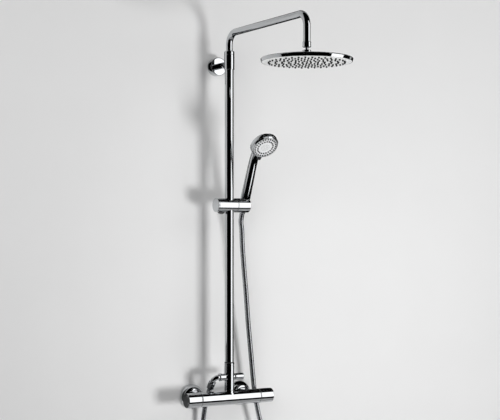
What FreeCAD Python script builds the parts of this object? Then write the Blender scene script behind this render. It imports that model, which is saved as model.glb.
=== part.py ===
import FreeCAD, Part
import math
import os

# A wall mounted shower column: bar valve, diverter, riser, arm, rain head, slider, hand shower and hose.
# The wall is the plane Y = 0, the object stands out along -Y, Z is up, and X runs along the bar valve.
# The origin is on the wall, half way between the two water inlets. Lengths are millimetres.

V = FreeCAD.Vector
X_AXIS = V(1, 0, 0)
Y_AXIS = V(0, 1, 0)
Z_AXIS = V(0, 0, 1)

# Fits and small breaks
FIT = 0.05              # running clearance on a radius
SEAT = 0.1              # clearance between fixed pieces
FREE = 0.3              # clearance between pieces that pass each other
EDGE = 0.7              # broken edge on turned pieces

# Wall connections, stacked from the wall out to the bar
INLET_SPACING = 150.0
INLET_BORE_R = 7.5
WALL_THREAD_R = 10.48
WALL_THREAD_LENGTH = 18.0
UNION_R = 13.2
FILTER_THICK = 2.0
TAIL_R = 10.5
TAIL_FLANGE_THICK = 2.5
ROSETTE_R = 34.0
ROSETTE_DEPTH = 24.0
ROSETTE_NOSE_R = 23.0
ROSETTE_LIP = 3.0
ROSETTE_WALL = 1.2
ROSETTE_BULGE_AT = 0.62  # where the dome's middle lies, as shares of its depth and of its step in radius
ROSETTE_BULGE_IN = 0.32
NUT_WALL = 1.8
NUT_LENGTH = 23.0
NUT_LIP = 5.0
NUT_TO_BAR = 11.4       # from the nut's front to the bar's skin

# Bar valve
BAR_R = 19.5
BODY_BEYOND = 15.0      # from an inlet's axis to the body's end
HANDLE_LENGTH = 41.4
HANDLE_GAP = 0.6
HANDLE_WALL = 3.0
HANDLE_END_WALL = 6.0
CAP_R = 14.5
CAP_DEPTH = 2.2
HUB_R = 7.0
HUB_INSET = 9.4         # from the handle's open end to its hub
CARTRIDGE_R = 13.0
CARTRIDGE_LENGTH = 38.0
CARTRIDGE_WALL = 3.5
SPINDLE_R = 4.0
SPINDLE_DISC_R = 8.0
SPINDLE_DISC_THICK = 4.0
SPINDLE_GRIP = 20.0
SCREW_R = 2.0
SCREW_HEAD_R = 3.6
SCREW_HEAD_THICK = 2.4
SCREW_LENGTH = 14.0
PASSAGE_R = 6.0

# Diverter
DIVERTER_WALL = 1.4     # round the riser's socket
BOSS_RISE = 2.5         # the diverter's seat above the bar's skin
DIVERTER_BELOW = 35.0   # from the cross bore's axis down to the seat
DIVERTER_ABOVE = 38.0   # from the cross bore's axis up to the top
CROSS_BORE_R = 8.0
KNOB_STUB_WALL = 0.5
KNOB_STUB_LENGTH = 1.5
KNOB_R = 8.6
KNOB_LENGTH = 27.4
KNOB_SPINDLE_R = 3.0
KNOB_SPINDLE_GRIP = 18.0
KNOB_SPINDLE_WALL = 7.0
DIVERTER_SEAT_THICK = 6.0
DIVERTER_DISC_THICK = 3.0
ELBOW_STUB_WALL = 1.4
ELBOW_STUB_LENGTH = 11.5
COLLAR_PROUD = 1.2
COLLAR_WIDTH = 6.0
ELBOW_RUN = 16.0        # from the collar to the elbow's corner
ELBOW_R = 7.0
ELBOW_BEND = 13.0
ELBOW_LEAN = 36.0
ELBOW_LEG = 16.0
ELBOW_SPIGOT_R = 7.4
ELBOW_SPIGOT = 9.0
ELBOW_BORE_R = 4.5
HOSE_NUT_R = 11.0
HOSE_NUT_FLAT = 0.89     # half the width across its flats, as a share of its radius
HOSE_NUT_LENGTH = 20.0

# Riser and upper bracket
RISER_R = 12.0
RISER_WALL = 1.2
RISER_SOCKET = 20.0
RISER_TOP = 925.0
RISER_SEAL_WIDTH = 2.4
BRACKET_BELOW = 18.5    # the bracket's axis below the riser's top
SLEEVE_WALL = 1.9
SLEEVE_BELOW = 34.0
SLEEVE_ABOVE = 6.0
GLAND_HEIGHT = 11.0
STEM_R = 8.6
STEM_FLARE_R = 11.2
STEM_FLARE_LENGTH = 12.0
BRACKET_ROSETTE_R = 25.0
BRACKET_ROSETTE_DEPTH = 22.0
BRACKET_ROSETTE_WALL = 2.0
BRACKET_ROSETTE_ROUND = 2.0
WALL_BOLT_R = 4.0
STEM_BOLT_R = 3.5
WALL_BOLT_IN_WALL = 38.0
WALL_BOLT_PAST_GRUB = 8.0
GRUB_R = 2.0
GRUB_PAST_ROSETTE = 6.0

# Arm and ball joint
ARM_ROOM = 1.8          # between the arm and the riser's bore
ARM_WALL = 1.2
ARM_SINK = 25.0         # the arm's end below the riser's top
ARM_RISE = 64.0
ARM_REACH = 387.0
ARM_BEND = 32.0
ARM_COLLAR_THICK = 3.5
ARM_SEAL_COUNT = 2
ARM_SEAL_WIDTH = 2.4
ARM_SEAL_INSET = 4.0
ARM_SEAL_STEP = 8.0
DROP_LENGTH = 72.0
STUD_COLLAR_PROUD = 1.5
STUD_COLLAR_LENGTH = 14.0
STUD_SHANK = 12.0
STUD_NECK_R = 4.2
STUD_NECK_LENGTH = 17.0  # from the collar to the ball's middle
STUD_BORE_R = 2.5
BALL_R = 8.0
BALL_SEAT_WALL = 1.55
BALL_SEAT_SUNK = 2.1    # the seat's upper edge below the boss's top
BALL_SEAT_DOWN = 5.5
RETAINER_CLEAR = 0.45   # between the ball and the ring that keeps it in
RETAINER_FLARE = 0.6
RETAINER_WALL = 3.4
RETAINER_HEIGHT = 5.5

# Rain head, measured down from the ball
HEAD_R = 114.0
HEAD_RIM_WIDTH = 3.0    # from the widest ring in to the spray plate
HEAD_RIM_DEPTH = 7.0
HEAD_LIP_WALL = 1.1
HEAD_WALL = 1.8
HEAD_RISE = 10.5        # the dome's height above the widest ring
HEAD_DOME_AT = 0.55     # where the dome's middle lies, as shares of its radius and of its height
HEAD_DOME_UP = 0.78
HEAD_DOME_BELOW = 2.0   # the dome's top below the ball's middle
HEAD_BOSS_STEP = 3.6
HEAD_BOSS_ABOVE = 4.5   # the boss's top above the ball's middle
FACE_THICK = 2.0
MAT_THICK = 2.0
MAT_MARGIN = 5.0
NOZZLE_R = 2.4
NOZZLE_TIP_R = 2.1
NOZZLE_OUT = 3.6
NOZZLE_COUNT = 6        # nozzles in the first ring, and as many more in each next one
NOZZLE_RINGS = 6
NOZZLE_FIRST_R = 12.0
NOZZLE_EDGE = 17.0      # from the last ring to the plate's edge

# Slider and holder
SLIDER_Z = 523.0
SLIDER_WALL = 3.8
SPLIT_WALL = 4.8        # from the bush's groove to the split between body and holder
SLIDER_CAP_THICK = 4.0
CAVITY_WALL = 5.0
CAVITY_WEB = 6.0        # between the bush's bore and the clamp's cavity
BUSH_WALL = 2.0
BUSH_HEIGHT = 25.0
BUSH_COLLAR_PROUD = 1.2
BUSH_COLLAR_HEIGHT = 4.0
SHOE_R = 6.0
SHOE_LENGTH = 11.0
SPRING_ROOM = 13.3
SPRING_DISCS = 3
SPRING_SHARE = 0.3      # thickness of a spring washer, as a share of its height
TAB_GAP = 0.8           # from the bush's groove to the tab
TAB_LENGTH = 18.0
TAB_WIDTH = 10.0
TAB_DEPTH = 6.5         # how far the tab reaches into the body
TAB_REACH = 5.0         # how far it stands out below
TAB_TRAVEL = 2.0
WASHER_THICK = 0.5
WASHER_R = 12.0
PIVOT_R = 5.0
PIVOT_LENGTH = 8.0
PIVOT_WALL = 1.4
PIVOT_WEB = 2.6
HOLDER_ROOM = 2.7       # between the pivot screw's head and the tapered seat
HOLDER_WALL = 2.2
HOLDER_LEAN = 24.0
SEAT_TOP_R = 10.3
SEAT_BOTTOM_R = 8.3
CONE_TAIL = 4.5         # the cone's end below the holder
CONE_PROUD = 0.6        # the cone's top above the holder
SOCKET_STEP = 0.4
CONE_SOCKET = 14.0

# Hand shower, in its own frame: Z along the handle, -Y towards the spray side, origin on the holder's axis
HANDSET_TURN = -2.0
HANDLE_SEAT_GAP = 0.4
FLANGE_PROUD = 1.6
INLET_FLANGE_THICK = 4.0
HANDLE_BOTTOM_R = 13.3
HANDLE_TOP_R = 10.6
HANDSET_WALL = 2.0
NECK = ((0.0, 0.0), (45.0, 0.8), (92.0, 2.0), (124.0, 1.5), (150.0, -5.5), (171.0, -17.5))
NECK_BEND_INDEX = 3     # the point of the neck where its bend starts
NECK_INTO_HEAD = 6.0
WATER_TUBE_R = 6.0
WATER_TUBE_SHORT = 6.0  # the water tube's end below the neck's bend
FACE_FORWARD = 27.5     # the spray face from the neck's end
FACE_LOWER = 5.6
FACE_LEAN = 23.0
HAND_HEAD_R = 37.5
HAND_HEAD_DEPTH = 28.0
HAND_RIM_DEPTH = 14.5
HAND_DOME_AT = 0.78     # where the back's middle lies, and how wide it is there and at its crown, as shares
HAND_DOME_R = 0.78
HAND_CROWN_R = 0.26
RING_STEP = 0.7
RING_WIDTH = 4.5
RING_THICK = 5.0
RING_PROUD = 0.6
RING_LAND = 2.4         # the ring's flat front, before it slopes back to its rim
RING_RIM = 0.8
RING_TAB_REACH = 9.6
RING_TAB_WIDTH = 8.0
HAND_FACE_THICK = 2.4
HAND_MAT_THICK = 1.6
HAND_NOZZLE_R = 2.1
HAND_NOZZLE_TIP_R = 1.8
HAND_NOZZLE_OUT = 1.4
HAND_ROW_INSETS = (3.0, 10.6)
HAND_ROW_COUNTS = (26, 20)
HAND_CENTRE_R = 14.0
HAND_CENTRE_DEPTH = 0.8

# Hose: a ribbed metal hose, whose route from the elbow's nut to the cone is chosen by hand
HOSE_R = 6.75
HOSE_RIB_DEPTH = 0.6
HOSE_BORE_R = 4.5
HOSE_RIB_COUNT = 180
RIB_RISE_SHARE = 0.25   # where a rib reaches its top, leaves it and ends, as shares of its pitch
RIB_FALL_SHARE = 0.6
RIB_END_SHARE = 0.85
HOSE_ARC_SHARE = 0.45
HOSE_LEAD_IN = 20.0     # straight runs out of the nut and into the cone
HOSE_LEAD_OUT = 22.0
HOSE_POINTS = (
    (-48.0, -33.9, -13.7),
    (-50.0, -25.8, -46.5),
    (-55.0, -23.0, -95.0),
    (-65.5, -23.5, -157.0),
    (-76.5, -25.0, -220.0),
    (-80.0, -27.0, -280.0),
    (-69.0, -29.0, -335.0),
    (-39.0, -31.0, -378.0),
    (8.0, -33.0, -401.0),
    (60.0, -34.0, -403.0),
    (107.0, -35.0, -383.0),
    (141.0, -36.0, -343.0),
    (157.0, -37.0, -289.0),
    (157.0, -38.0, -228.0),
    (147.0, -39.0, -165.0),
    (132.5, -40.0, -112.0),
    (118.5, -40.5, -70.0),
    (107.0, -41.5, -24.0),
    (98.5, -42.0, 26.0),
    (88.5, -44.5, 112.0),
    (76.0, -49.5, 201.0),
    (67.5, -54.0, 280.0),
    (61.5, -56.5, 352.0),
    (56.0, -55.4, 418.0),
    (51.6, -58.6, 455.0),
)


# Placing and shaping

def rod(radius, start, end):
    """A round bar from one point to another."""
    return Part.makeCylinder(radius, (end - start).Length, start, end - start)


def tube(outer, inner, start, end):
    """A round tube from one point to another."""
    return rod(outer, start, end).cut(rod(inner, start, end))


def turned(outline, origin, axis, across):
    """A solid turned from an outline of (distance along the axis, radius) points.
    A point with a third value True is the middle of an arc between its neighbours."""
    def place(point):
        return origin + axis * point[0] + across * point[1]
    edges = []
    points = list(outline) + [outline[0]]
    i = 0
    while i < len(points) - 1:
        if len(points[i + 1]) == 3:
            arc = Part.Arc(place(points[i]), place(points[i + 1]), place(points[i + 2]))
            edges.append(arc.toShape())
            i += 2
        else:
            edges.append(Part.makeLine(place(points[i]), place(points[i + 1])))
            i += 1
    return Part.Face(Part.Wire(edges)).revolve(origin, axis, 360)


def drum(radius, start, end, edge=EDGE):
    """A round bar with broken edges, as (distance, radius) points for turned."""
    low, high = min(start, end), max(start, end)
    lower = [(low, 0), (low, radius - edge), (low + edge, radius)]
    upper = [(high - edge, radius), (high, radius - edge), (high, 0)]
    return lower + upper


def route(points, radii):
    """Straight runs joined by tangent arcs, as a list of (start, end, centre or None)."""
    legs = []
    here = points[0]
    for i in range(1, len(points) - 1):
        before = (points[i] - points[i - 1]).normalize()
        after = (points[i + 1] - points[i]).normalize()
        turn = before.getAngle(after)
        cut = radii[i - 1] * math.tan(turn / 2)
        start = points[i] - before * cut
        end = points[i] + after * cut
        inward = (after - before).normalize()
        centre = points[i] + inward * (radii[i - 1] / math.cos(turn / 2))
        if (start - here).Length > 1e-6:
            legs.append((here, start, None))
        legs.append((start, end, centre))
        here = end
    legs.append((here, points[-1], None))
    return legs


def wire_of(legs):
    """The route as one wire of lines and arcs."""
    edges = []
    for start, end, centre in legs:
        if centre is None:
            edges.append(Part.LineSegment(start, end).toShape())
        else:
            middle = ((start + end) * 0.5 - centre).normalize()
            edges.append(Part.Arc(start, centre + middle * (start - centre).Length, end).toShape())
    return Part.Wire(edges)


def bent_bar(radius, points, bend):
    """A round bar along a route with one bend radius."""
    legs = route(points, [bend] * (len(points) - 2))
    ring = Part.Wire(Part.makeCircle(radius, points[0], points[1] - points[0]))
    return wire_of(legs).makePipeShell([ring], True, False)


def hexagon_bar(flats, start, end):
    """A hexagonal bar from one point to another, with two flats facing up and down."""
    axis = (end - start).normalize()
    side = axis.cross(Z_AXIS).normalize()
    up = side.cross(axis)
    corner = flats / math.sqrt(3)
    ring = []
    for k in range(7):
        turn = math.radians(60 * k)
        ring.append(start + side * (corner * math.cos(turn)) + up * (corner * math.sin(turn)))
    return Part.Face(Part.makePolygon(ring)).extrude(end - start)


def keep(name, shape):
    """Writes one sub-part."""
    shape.exportStep("parts/" + name + ".step")


# Bar valve

NUT_BACK = -(ROSETTE_DEPTH + 2 * FREE)
NUT_FRONT = NUT_BACK - NUT_LENGTH
FLANGE_FRONT = NUT_FRONT + NUT_LIP + SEAT
TAIL_END = FLANGE_FRONT + TAIL_FLANGE_THICK
UNION_END = TAIL_END + FILTER_THICK
BAR_FROM_WALL = BAR_R + NUT_TO_BAR - NUT_FRONT
BAR = V(0, -BAR_FROM_WALL, 0)
INLET_X = INLET_SPACING / 2
BODY_HALF = INLET_X + BODY_BEYOND
HANDLE_START = BODY_HALF + HANDLE_GAP
HANDLE_END = HANDLE_START + HANDLE_LENGTH
DIVERTER_R = RISER_R + SEAT + DIVERTER_WALL
BOSS_TOP = BAR_R + BOSS_RISE


def on_bar(x, z=0):
    return BAR + V(x, 0, z)


def make_valve_body():
    body = turned(drum(BAR_R, -BODY_HALF, BODY_HALF), BAR, X_AXIS, Z_AXIS)
    body = body.fuse(rod(DIVERTER_R, BAR, on_bar(0, BOSS_TOP)))
    for side in (-1, 1):
        x = side * INLET_X
        body = body.fuse(rod(TAIL_R, on_bar(x), V(x, TAIL_END, 0)))
        body = body.fuse(rod(UNION_R - SEAT, V(x, FLANGE_FRONT, 0), V(x, TAIL_END, 0)))
    for side in (-1, 1):
        x = side * INLET_X
        cavity_end = side * (BODY_HALF - CARTRIDGE_LENGTH)
        body = body.cut(rod(CARTRIDGE_R, on_bar(cavity_end), on_bar(side * BODY_HALF)))
        body = body.cut(rod(INLET_BORE_R, on_bar(x), V(x, TAIL_END, 0)))
    body = body.cut(rod(PASSAGE_R, on_bar(-BODY_HALF), on_bar(BODY_HALF)))
    return body.cut(rod(PASSAGE_R, BAR, on_bar(0, BOSS_TOP)))


def make_cartridge(side):
    """A cup that fills the end of the valve body, with its spindle's disc inside."""
    inner = BODY_HALF - CARTRIDGE_LENGTH + SEAT
    cup = tube(CARTRIDGE_R - SEAT, SPINDLE_R + FIT, on_bar(side * inner), on_bar(side * BODY_HALF))
    room_start = side * (inner + CARTRIDGE_WALL)
    room_end = side * (BODY_HALF - CARTRIDGE_WALL)
    cup = cup.cut(rod(SPINDLE_DISC_R + FREE, on_bar(room_start), on_bar(room_end)))
    port_x = side * INLET_X
    return cup.cut(rod(INLET_BORE_R, on_bar(port_x), on_bar(port_x) + Y_AXIS * CARTRIDGE_R))


def make_spindle(side):
    inner = BODY_HALF - CARTRIDGE_LENGTH + SEAT + CARTRIDGE_WALL + FREE
    grip_end = HANDLE_START + SPINDLE_GRIP
    spindle = rod(SPINDLE_R, on_bar(side * inner), on_bar(side * grip_end))
    disc_end = inner + SPINDLE_DISC_THICK
    spindle = spindle.fuse(rod(SPINDLE_DISC_R, on_bar(side * inner), on_bar(side * disc_end)))
    return spindle.cut(rod(SCREW_R + FIT, on_bar(side * (grip_end - SCREW_LENGTH)), on_bar(side * grip_end)))


def make_handle(side):
    """A cup with a hub for the spindle, and a recess for the end cap."""
    axis = X_AXIS * side
    handle = turned(drum(BAR_R, HANDLE_START, HANDLE_END), BAR, axis, Z_AXIS)
    floor = HANDLE_END - HANDLE_END_WALL
    hollow = rod(BAR_R - HANDLE_WALL, on_bar(side * HANDLE_START), on_bar(side * floor))
    hub = rod(HUB_R, on_bar(side * (HANDLE_START + HUB_INSET)), on_bar(side * floor))
    handle = handle.cut(hollow.cut(hub))
    grip_end = HANDLE_START + SPINDLE_GRIP
    handle = handle.cut(rod(SPINDLE_R + FIT, on_bar(side * HANDLE_START), on_bar(side * grip_end)))
    handle = handle.cut(rod(SCREW_R + SEAT, on_bar(side * HANDLE_START), on_bar(side * HANDLE_END)))
    recess = HANDLE_END - CAP_DEPTH
    sunk = recess - SCREW_HEAD_THICK
    handle = handle.cut(rod(SCREW_HEAD_R + SEAT, on_bar(side * sunk), on_bar(side * recess)))
    return handle.cut(rod(CAP_R, on_bar(side * recess), on_bar(side * HANDLE_END)))


def make_handle_screw(side):
    head_end = HANDLE_END - CAP_DEPTH
    head_start = head_end - SCREW_HEAD_THICK
    tip = HANDLE_START + SPINDLE_GRIP - SCREW_LENGTH + SEAT
    screw = rod(SCREW_R, on_bar(side * tip), on_bar(side * head_end))
    return screw.fuse(rod(SCREW_HEAD_R, on_bar(side * head_start), on_bar(side * head_end)))


def make_handle_cap(side):
    axis = X_AXIS * side
    return turned(drum(CAP_R - SEAT, HANDLE_END - CAP_DEPTH, HANDLE_END + EDGE), BAR, axis, Z_AXIS)


# Wall connections

def make_union(x):
    """Screws into the wall and carries the union nut's thread."""
    union = rod(WALL_THREAD_R, V(x, WALL_THREAD_LENGTH, 0), V(x, 0, 0))
    union = union.fuse(rod(UNION_R, V(x, 0, 0), V(x, UNION_END, 0)))
    return union.cut(rod(INLET_BORE_R, V(x, WALL_THREAD_LENGTH, 0), V(x, UNION_END, 0)))


def make_union_nut(x):
    shoulder = NUT_FRONT + NUT_LIP
    nut = hexagon_bar(2 * (UNION_R + NUT_WALL), V(x, NUT_FRONT, 0), V(x, NUT_BACK, 0))
    nut = nut.cut(rod(UNION_R + FIT, V(x, shoulder, 0), V(x, NUT_BACK, 0)))
    return nut.cut(rod(TAIL_R + SEAT, V(x, NUT_FRONT, 0), V(x, shoulder, 0)))


def make_rosette(x):
    """A domed cover, open at the wall."""
    nose = ROSETTE_DEPTH
    bulge = ROSETTE_R - (ROSETTE_R - ROSETTE_NOSE_R) * ROSETTE_BULGE_IN
    middle = nose * ROSETTE_BULGE_AT
    hole = UNION_R + FREE
    thick = ROSETTE_WALL
    outline = [
        (0, ROSETTE_R - thick), (0, ROSETTE_R), (ROSETTE_LIP, ROSETTE_R),
        (middle, bulge, True), (nose, ROSETTE_NOSE_R), (nose, hole), (nose - thick, hole),
        (nose - thick, ROSETTE_NOSE_R - thick), (middle, bulge - thick, True),
        (ROSETTE_LIP, ROSETTE_R - thick),
    ]
    return turned(outline, V(x, 0, 0), V(0, -1, 0), Z_AXIS)


def make_filters():
    rings = []
    for side in (-1, 1):
        x = side * INLET_X
        rings.append(tube(UNION_R - SEAT, INLET_BORE_R, V(x, UNION_END, 0), V(x, TAIL_END, 0)))
    return Part.makeCompound(rings)


# Diverter and hose elbow

DIVERTER = on_bar(0, BOSS_TOP + DIVERTER_BELOW)
DIVERTER_TOP = BOSS_TOP + DIVERTER_BELOW + DIVERTER_ABOVE
KNOB_STUB_REACH = DIVERTER_R + KNOB_STUB_LENGTH
KNOB_START = KNOB_STUB_REACH + HANDLE_GAP
ELBOW_STUB_R = CROSS_BORE_R + ELBOW_STUB_WALL
ELBOW_STUB_REACH = DIVERTER_R + ELBOW_STUB_LENGTH
COLLAR_END = ELBOW_STUB_REACH + COLLAR_WIDTH
ELBOW = DIVERTER - X_AXIS * (COLLAR_END + ELBOW_RUN)
ELBOW_DOWN = V(0, math.sin(math.radians(ELBOW_LEAN)), -math.cos(math.radians(ELBOW_LEAN)))
SOCKET_BOTTOM = DIVERTER_TOP - RISER_SOCKET


def across(x):
    return DIVERTER + X_AXIS * x


def make_diverter_body():
    body = turned(drum(DIVERTER_R, BOSS_TOP, DIVERTER_TOP), BAR, Z_AXIS, X_AXIS)
    body = body.fuse(rod(CROSS_BORE_R + KNOB_STUB_WALL, DIVERTER, across(KNOB_STUB_REACH)))
    body = body.fuse(rod(ELBOW_STUB_R, DIVERTER, across(-ELBOW_STUB_REACH)))
    body = body.cut(rod(PASSAGE_R, on_bar(0, BOSS_TOP), on_bar(0, SOCKET_BOTTOM)))
    body = body.cut(rod(RISER_R + SEAT, on_bar(0, SOCKET_BOTTOM), on_bar(0, DIVERTER_TOP)))
    wall_start = KNOB_STUB_REACH - KNOB_SPINDLE_WALL
    body = body.cut(rod(CROSS_BORE_R, across(-ELBOW_STUB_REACH), across(wall_start)))
    return body.cut(rod(KNOB_SPINDLE_R + FIT, across(wall_start), across(KNOB_STUB_REACH)))


def make_diverter_seat():
    """A ported disc that stands in the cross bore, behind the turning disc."""
    front = KNOB_STUB_REACH - KNOB_SPINDLE_WALL - DIVERTER_DISC_THICK - 2 * FREE
    back = front - DIVERTER_SEAT_THICK
    seat = tube(CROSS_BORE_R - SEAT, KNOB_SPINDLE_R, across(back), across(front))
    return seat.cut(rod(KNOB_SPINDLE_R, across(back), across(front) + Z_AXIS * CROSS_BORE_R))


def make_diverter_spindle():
    back = KNOB_STUB_REACH - KNOB_SPINDLE_WALL - FREE
    spindle = rod(KNOB_SPINDLE_R, across(back), across(KNOB_STUB_REACH + KNOB_SPINDLE_GRIP))
    return spindle.fuse(rod(CROSS_BORE_R - FREE, across(back - DIVERTER_DISC_THICK), across(back)))


def make_diverter_knob():
    knob = turned(drum(KNOB_R, KNOB_START, KNOB_START + KNOB_LENGTH), DIVERTER, X_AXIS, Z_AXIS)
    hole_end = KNOB_STUB_REACH + KNOB_SPINDLE_GRIP + FREE
    return knob.cut(rod(KNOB_SPINDLE_R + FIT, across(KNOB_START), across(hole_end)))


def make_elbow_collar():
    start, end = -COLLAR_END, -ELBOW_STUB_REACH
    ring = turned(drum(ELBOW_STUB_R + COLLAR_PROUD, start, end), DIVERTER, X_AXIS, Z_AXIS)
    return ring.cut(rod(CROSS_BORE_R, across(start), across(end)))


def make_hose_elbow():
    shoulder = -COLLAR_END
    leg_end = ELBOW + ELBOW_DOWN * ELBOW_LEG
    spigot_end = leg_end + ELBOW_DOWN * ELBOW_SPIGOT
    plug_end = across(-DIVERTER_R)
    elbow = bent_bar(ELBOW_R, [across(shoulder), ELBOW, leg_end], ELBOW_BEND)
    elbow = elbow.fuse(rod(CROSS_BORE_R - SEAT, across(shoulder), plug_end))
    elbow = elbow.fuse(rod(ELBOW_SPIGOT_R, leg_end, spigot_end))
    return elbow.cut(bent_bar(ELBOW_BORE_R, [plug_end, ELBOW, spigot_end], ELBOW_BEND))


def make_hose_nut():
    start = ELBOW + ELBOW_DOWN * (ELBOW_LEG + SEAT)
    end = start + ELBOW_DOWN * HOSE_NUT_LENGTH
    socket_end = start + ELBOW_DOWN * (ELBOW_SPIGOT + SEAT)
    nut = turned(drum(HOSE_NUT_R, 0, HOSE_NUT_LENGTH), start, ELBOW_DOWN, X_AXIS)
    nut = nut.common(hexagon_bar(2 * HOSE_NUT_R * HOSE_NUT_FLAT, start, end))
    nut = nut.cut(rod(ELBOW_SPIGOT_R + SEAT, start, socket_end))
    return nut.cut(rod(HOSE_BORE_R, start, end))


HOSE_START = ELBOW + ELBOW_DOWN * (ELBOW_LEG + HOSE_NUT_LENGTH + 2 * SEAT)


# Riser and upper bracket

SLEEVE_R = RISER_R + SEAT + SLEEVE_WALL
SLEEVE_BOTTOM = RISER_TOP - SLEEVE_BELOW
SLEEVE_TOP = RISER_TOP + SLEEVE_ABOVE
GLAND_TOP = SLEEVE_TOP + GLAND_HEIGHT
BRACKET_Z = RISER_TOP - BRACKET_BELOW
GRUB_FROM_WALL = BRACKET_ROSETTE_DEPTH + GRUB_PAST_ROSETTE
WALL_BOLT_IN_STEM = GRUB_FROM_WALL + WALL_BOLT_PAST_GRUB
RISER_BORE_R = RISER_R - RISER_WALL
ARM_R = RISER_BORE_R - ARM_ROOM


def make_riser():
    return tube(RISER_R, RISER_BORE_R, on_bar(0, SOCKET_BOTTOM), on_bar(0, RISER_TOP))


def make_riser_seal():
    top = on_bar(0, DIVERTER_TOP)
    return tube(DIVERTER_R - EDGE, RISER_R + FIT, top, top + Z_AXIS * RISER_SEAL_WIDTH)


def make_bracket_sleeve():
    sleeve = turned(drum(SLEEVE_R, SLEEVE_BOTTOM, SLEEVE_TOP), BAR, Z_AXIS, X_AXIS)
    return sleeve.cut(rod(RISER_R + SEAT, on_bar(0, SLEEVE_BOTTOM), on_bar(0, SLEEVE_TOP)))


def make_bracket_stem():
    """A round stem that flares in an arc where it meets the sleeve."""
    back = V(0, 0, BRACKET_Z)
    flare_end = BAR_FROM_WALL - SLEEVE_R
    flare_start = flare_end - STEM_FLARE_LENGTH
    rise = STEM_FLARE_R - STEM_R
    flare_bend = (STEM_FLARE_LENGTH ** 2 + rise ** 2) / (2 * rise)
    half = STEM_FLARE_LENGTH / 2
    half_rise = flare_bend - math.sqrt(flare_bend ** 2 - half ** 2)
    outline = [
        (0, 0), (0, STEM_R), (flare_start, STEM_R), (flare_start + half, STEM_R + half_rise, True),
        (flare_end, STEM_FLARE_R), (BAR_FROM_WALL, STEM_FLARE_R), (BAR_FROM_WALL, 0),
    ]
    stem = turned(outline, back, -Y_AXIS, Z_AXIS)
    low, high = on_bar(0, SLEEVE_BOTTOM - SLEEVE_R), on_bar(0, SLEEVE_TOP + SLEEVE_R)
    stem = stem.cut(rod(SLEEVE_R + FIT, low, high))
    stem = stem.cut(rod(STEM_BOLT_R + FIT, back - Y_AXIS * (WALL_BOLT_IN_STEM + FREE), back))
    grub = V(0, -GRUB_FROM_WALL, BRACKET_Z)
    return stem.cut(rod(GRUB_R + FIT, grub - Z_AXIS * STEM_R, grub))


def make_grub_screw():
    grub = V(0, -GRUB_FROM_WALL, BRACKET_Z)
    return rod(GRUB_R, grub - Z_AXIS * STEM_R, grub - Z_AXIS * (STEM_BOLT_R + FIT))


def make_bracket_rosette():
    """A deep round cap, open at the wall."""
    deep, wide, thick = BRACKET_ROSETTE_DEPTH, BRACKET_ROSETTE_R, BRACKET_ROSETTE_WALL
    hole = STEM_R + SEAT
    outline = [
        (0, wide - thick), (0, wide), (deep - BRACKET_ROSETTE_ROUND, wide), (deep, wide - BRACKET_ROSETTE_ROUND),
        (deep, hole), (deep - thick, hole), (deep - thick, wide - thick),
    ]
    return turned(outline, V(0, 0, BRACKET_Z), V(0, -1, 0), Z_AXIS)


def make_wall_bolt():
    wall = V(0, 0, BRACKET_Z)
    bolt = rod(WALL_BOLT_R, wall, wall + Y_AXIS * WALL_BOLT_IN_WALL)
    return bolt.fuse(rod(STEM_BOLT_R, wall - Y_AXIS * WALL_BOLT_IN_STEM, wall))


def make_arm_gland():
    """The ring that the arm turns in: a spigot in the sleeve and a collar above it."""
    ring = turned(drum(SLEEVE_R, SLEEVE_TOP + SEAT, GLAND_TOP), BAR, Z_AXIS, X_AXIS)
    ring = ring.fuse(rod(RISER_R, on_bar(0, RISER_TOP + SEAT), on_bar(0, SLEEVE_TOP + 2 * SEAT)))
    return ring.cut(rod(ARM_R + FIT, on_bar(0, RISER_TOP), on_bar(0, GLAND_TOP)))


# Arm and ball joint

DROP = V(0, -BAR_FROM_WALL - ARM_REACH, 0)
ARM_BOTTOM = RISER_TOP - ARM_SINK
ARM_TOP = RISER_TOP + ARM_RISE
DROP_END = ARM_TOP - DROP_LENGTH
STUD_COLLAR_R = ARM_R + STUD_COLLAR_PROUD
STUD_COLLAR_BOTTOM = DROP_END - STUD_COLLAR_LENGTH
BALL_Z = STUD_COLLAR_BOTTOM - STUD_NECK_LENGTH
BALL = DROP + Z_AXIS * BALL_Z
RETAINER_BOTTOM = HEAD_BOSS_ABOVE + SEAT
RETAINER_TOP = RETAINER_BOTTOM + RETAINER_HEIGHT
RETAINER_THROAT_R = math.sqrt(BALL_R ** 2 - RETAINER_BOTTOM ** 2) + RETAINER_CLEAR
RETAINER_R = RETAINER_THROAT_R + RETAINER_WALL


def make_arm():
    low = on_bar(0, ARM_BOTTOM)
    points = [low, on_bar(0, ARM_TOP), DROP + Z_AXIS * ARM_TOP, DROP + Z_AXIS * DROP_END]
    arm = bent_bar(ARM_R, points, ARM_BEND)
    collar_top = on_bar(0, RISER_TOP)
    arm = arm.fuse(rod(RISER_BORE_R - 2 * SEAT, collar_top - Z_AXIS * ARM_COLLAR_THICK, collar_top))
    return arm.cut(bent_bar(ARM_R - ARM_WALL, points, ARM_BEND))


def make_arm_seals():
    rings = []
    for k in range(ARM_SEAL_COUNT):
        start = on_bar(0, ARM_BOTTOM + ARM_SEAL_INSET + k * ARM_SEAL_STEP)
        rings.append(tube(RISER_BORE_R - FIT, ARM_R + FIT, start, start + Z_AXIS * ARM_SEAL_WIDTH))
    return Part.makeCompound(rings)


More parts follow.
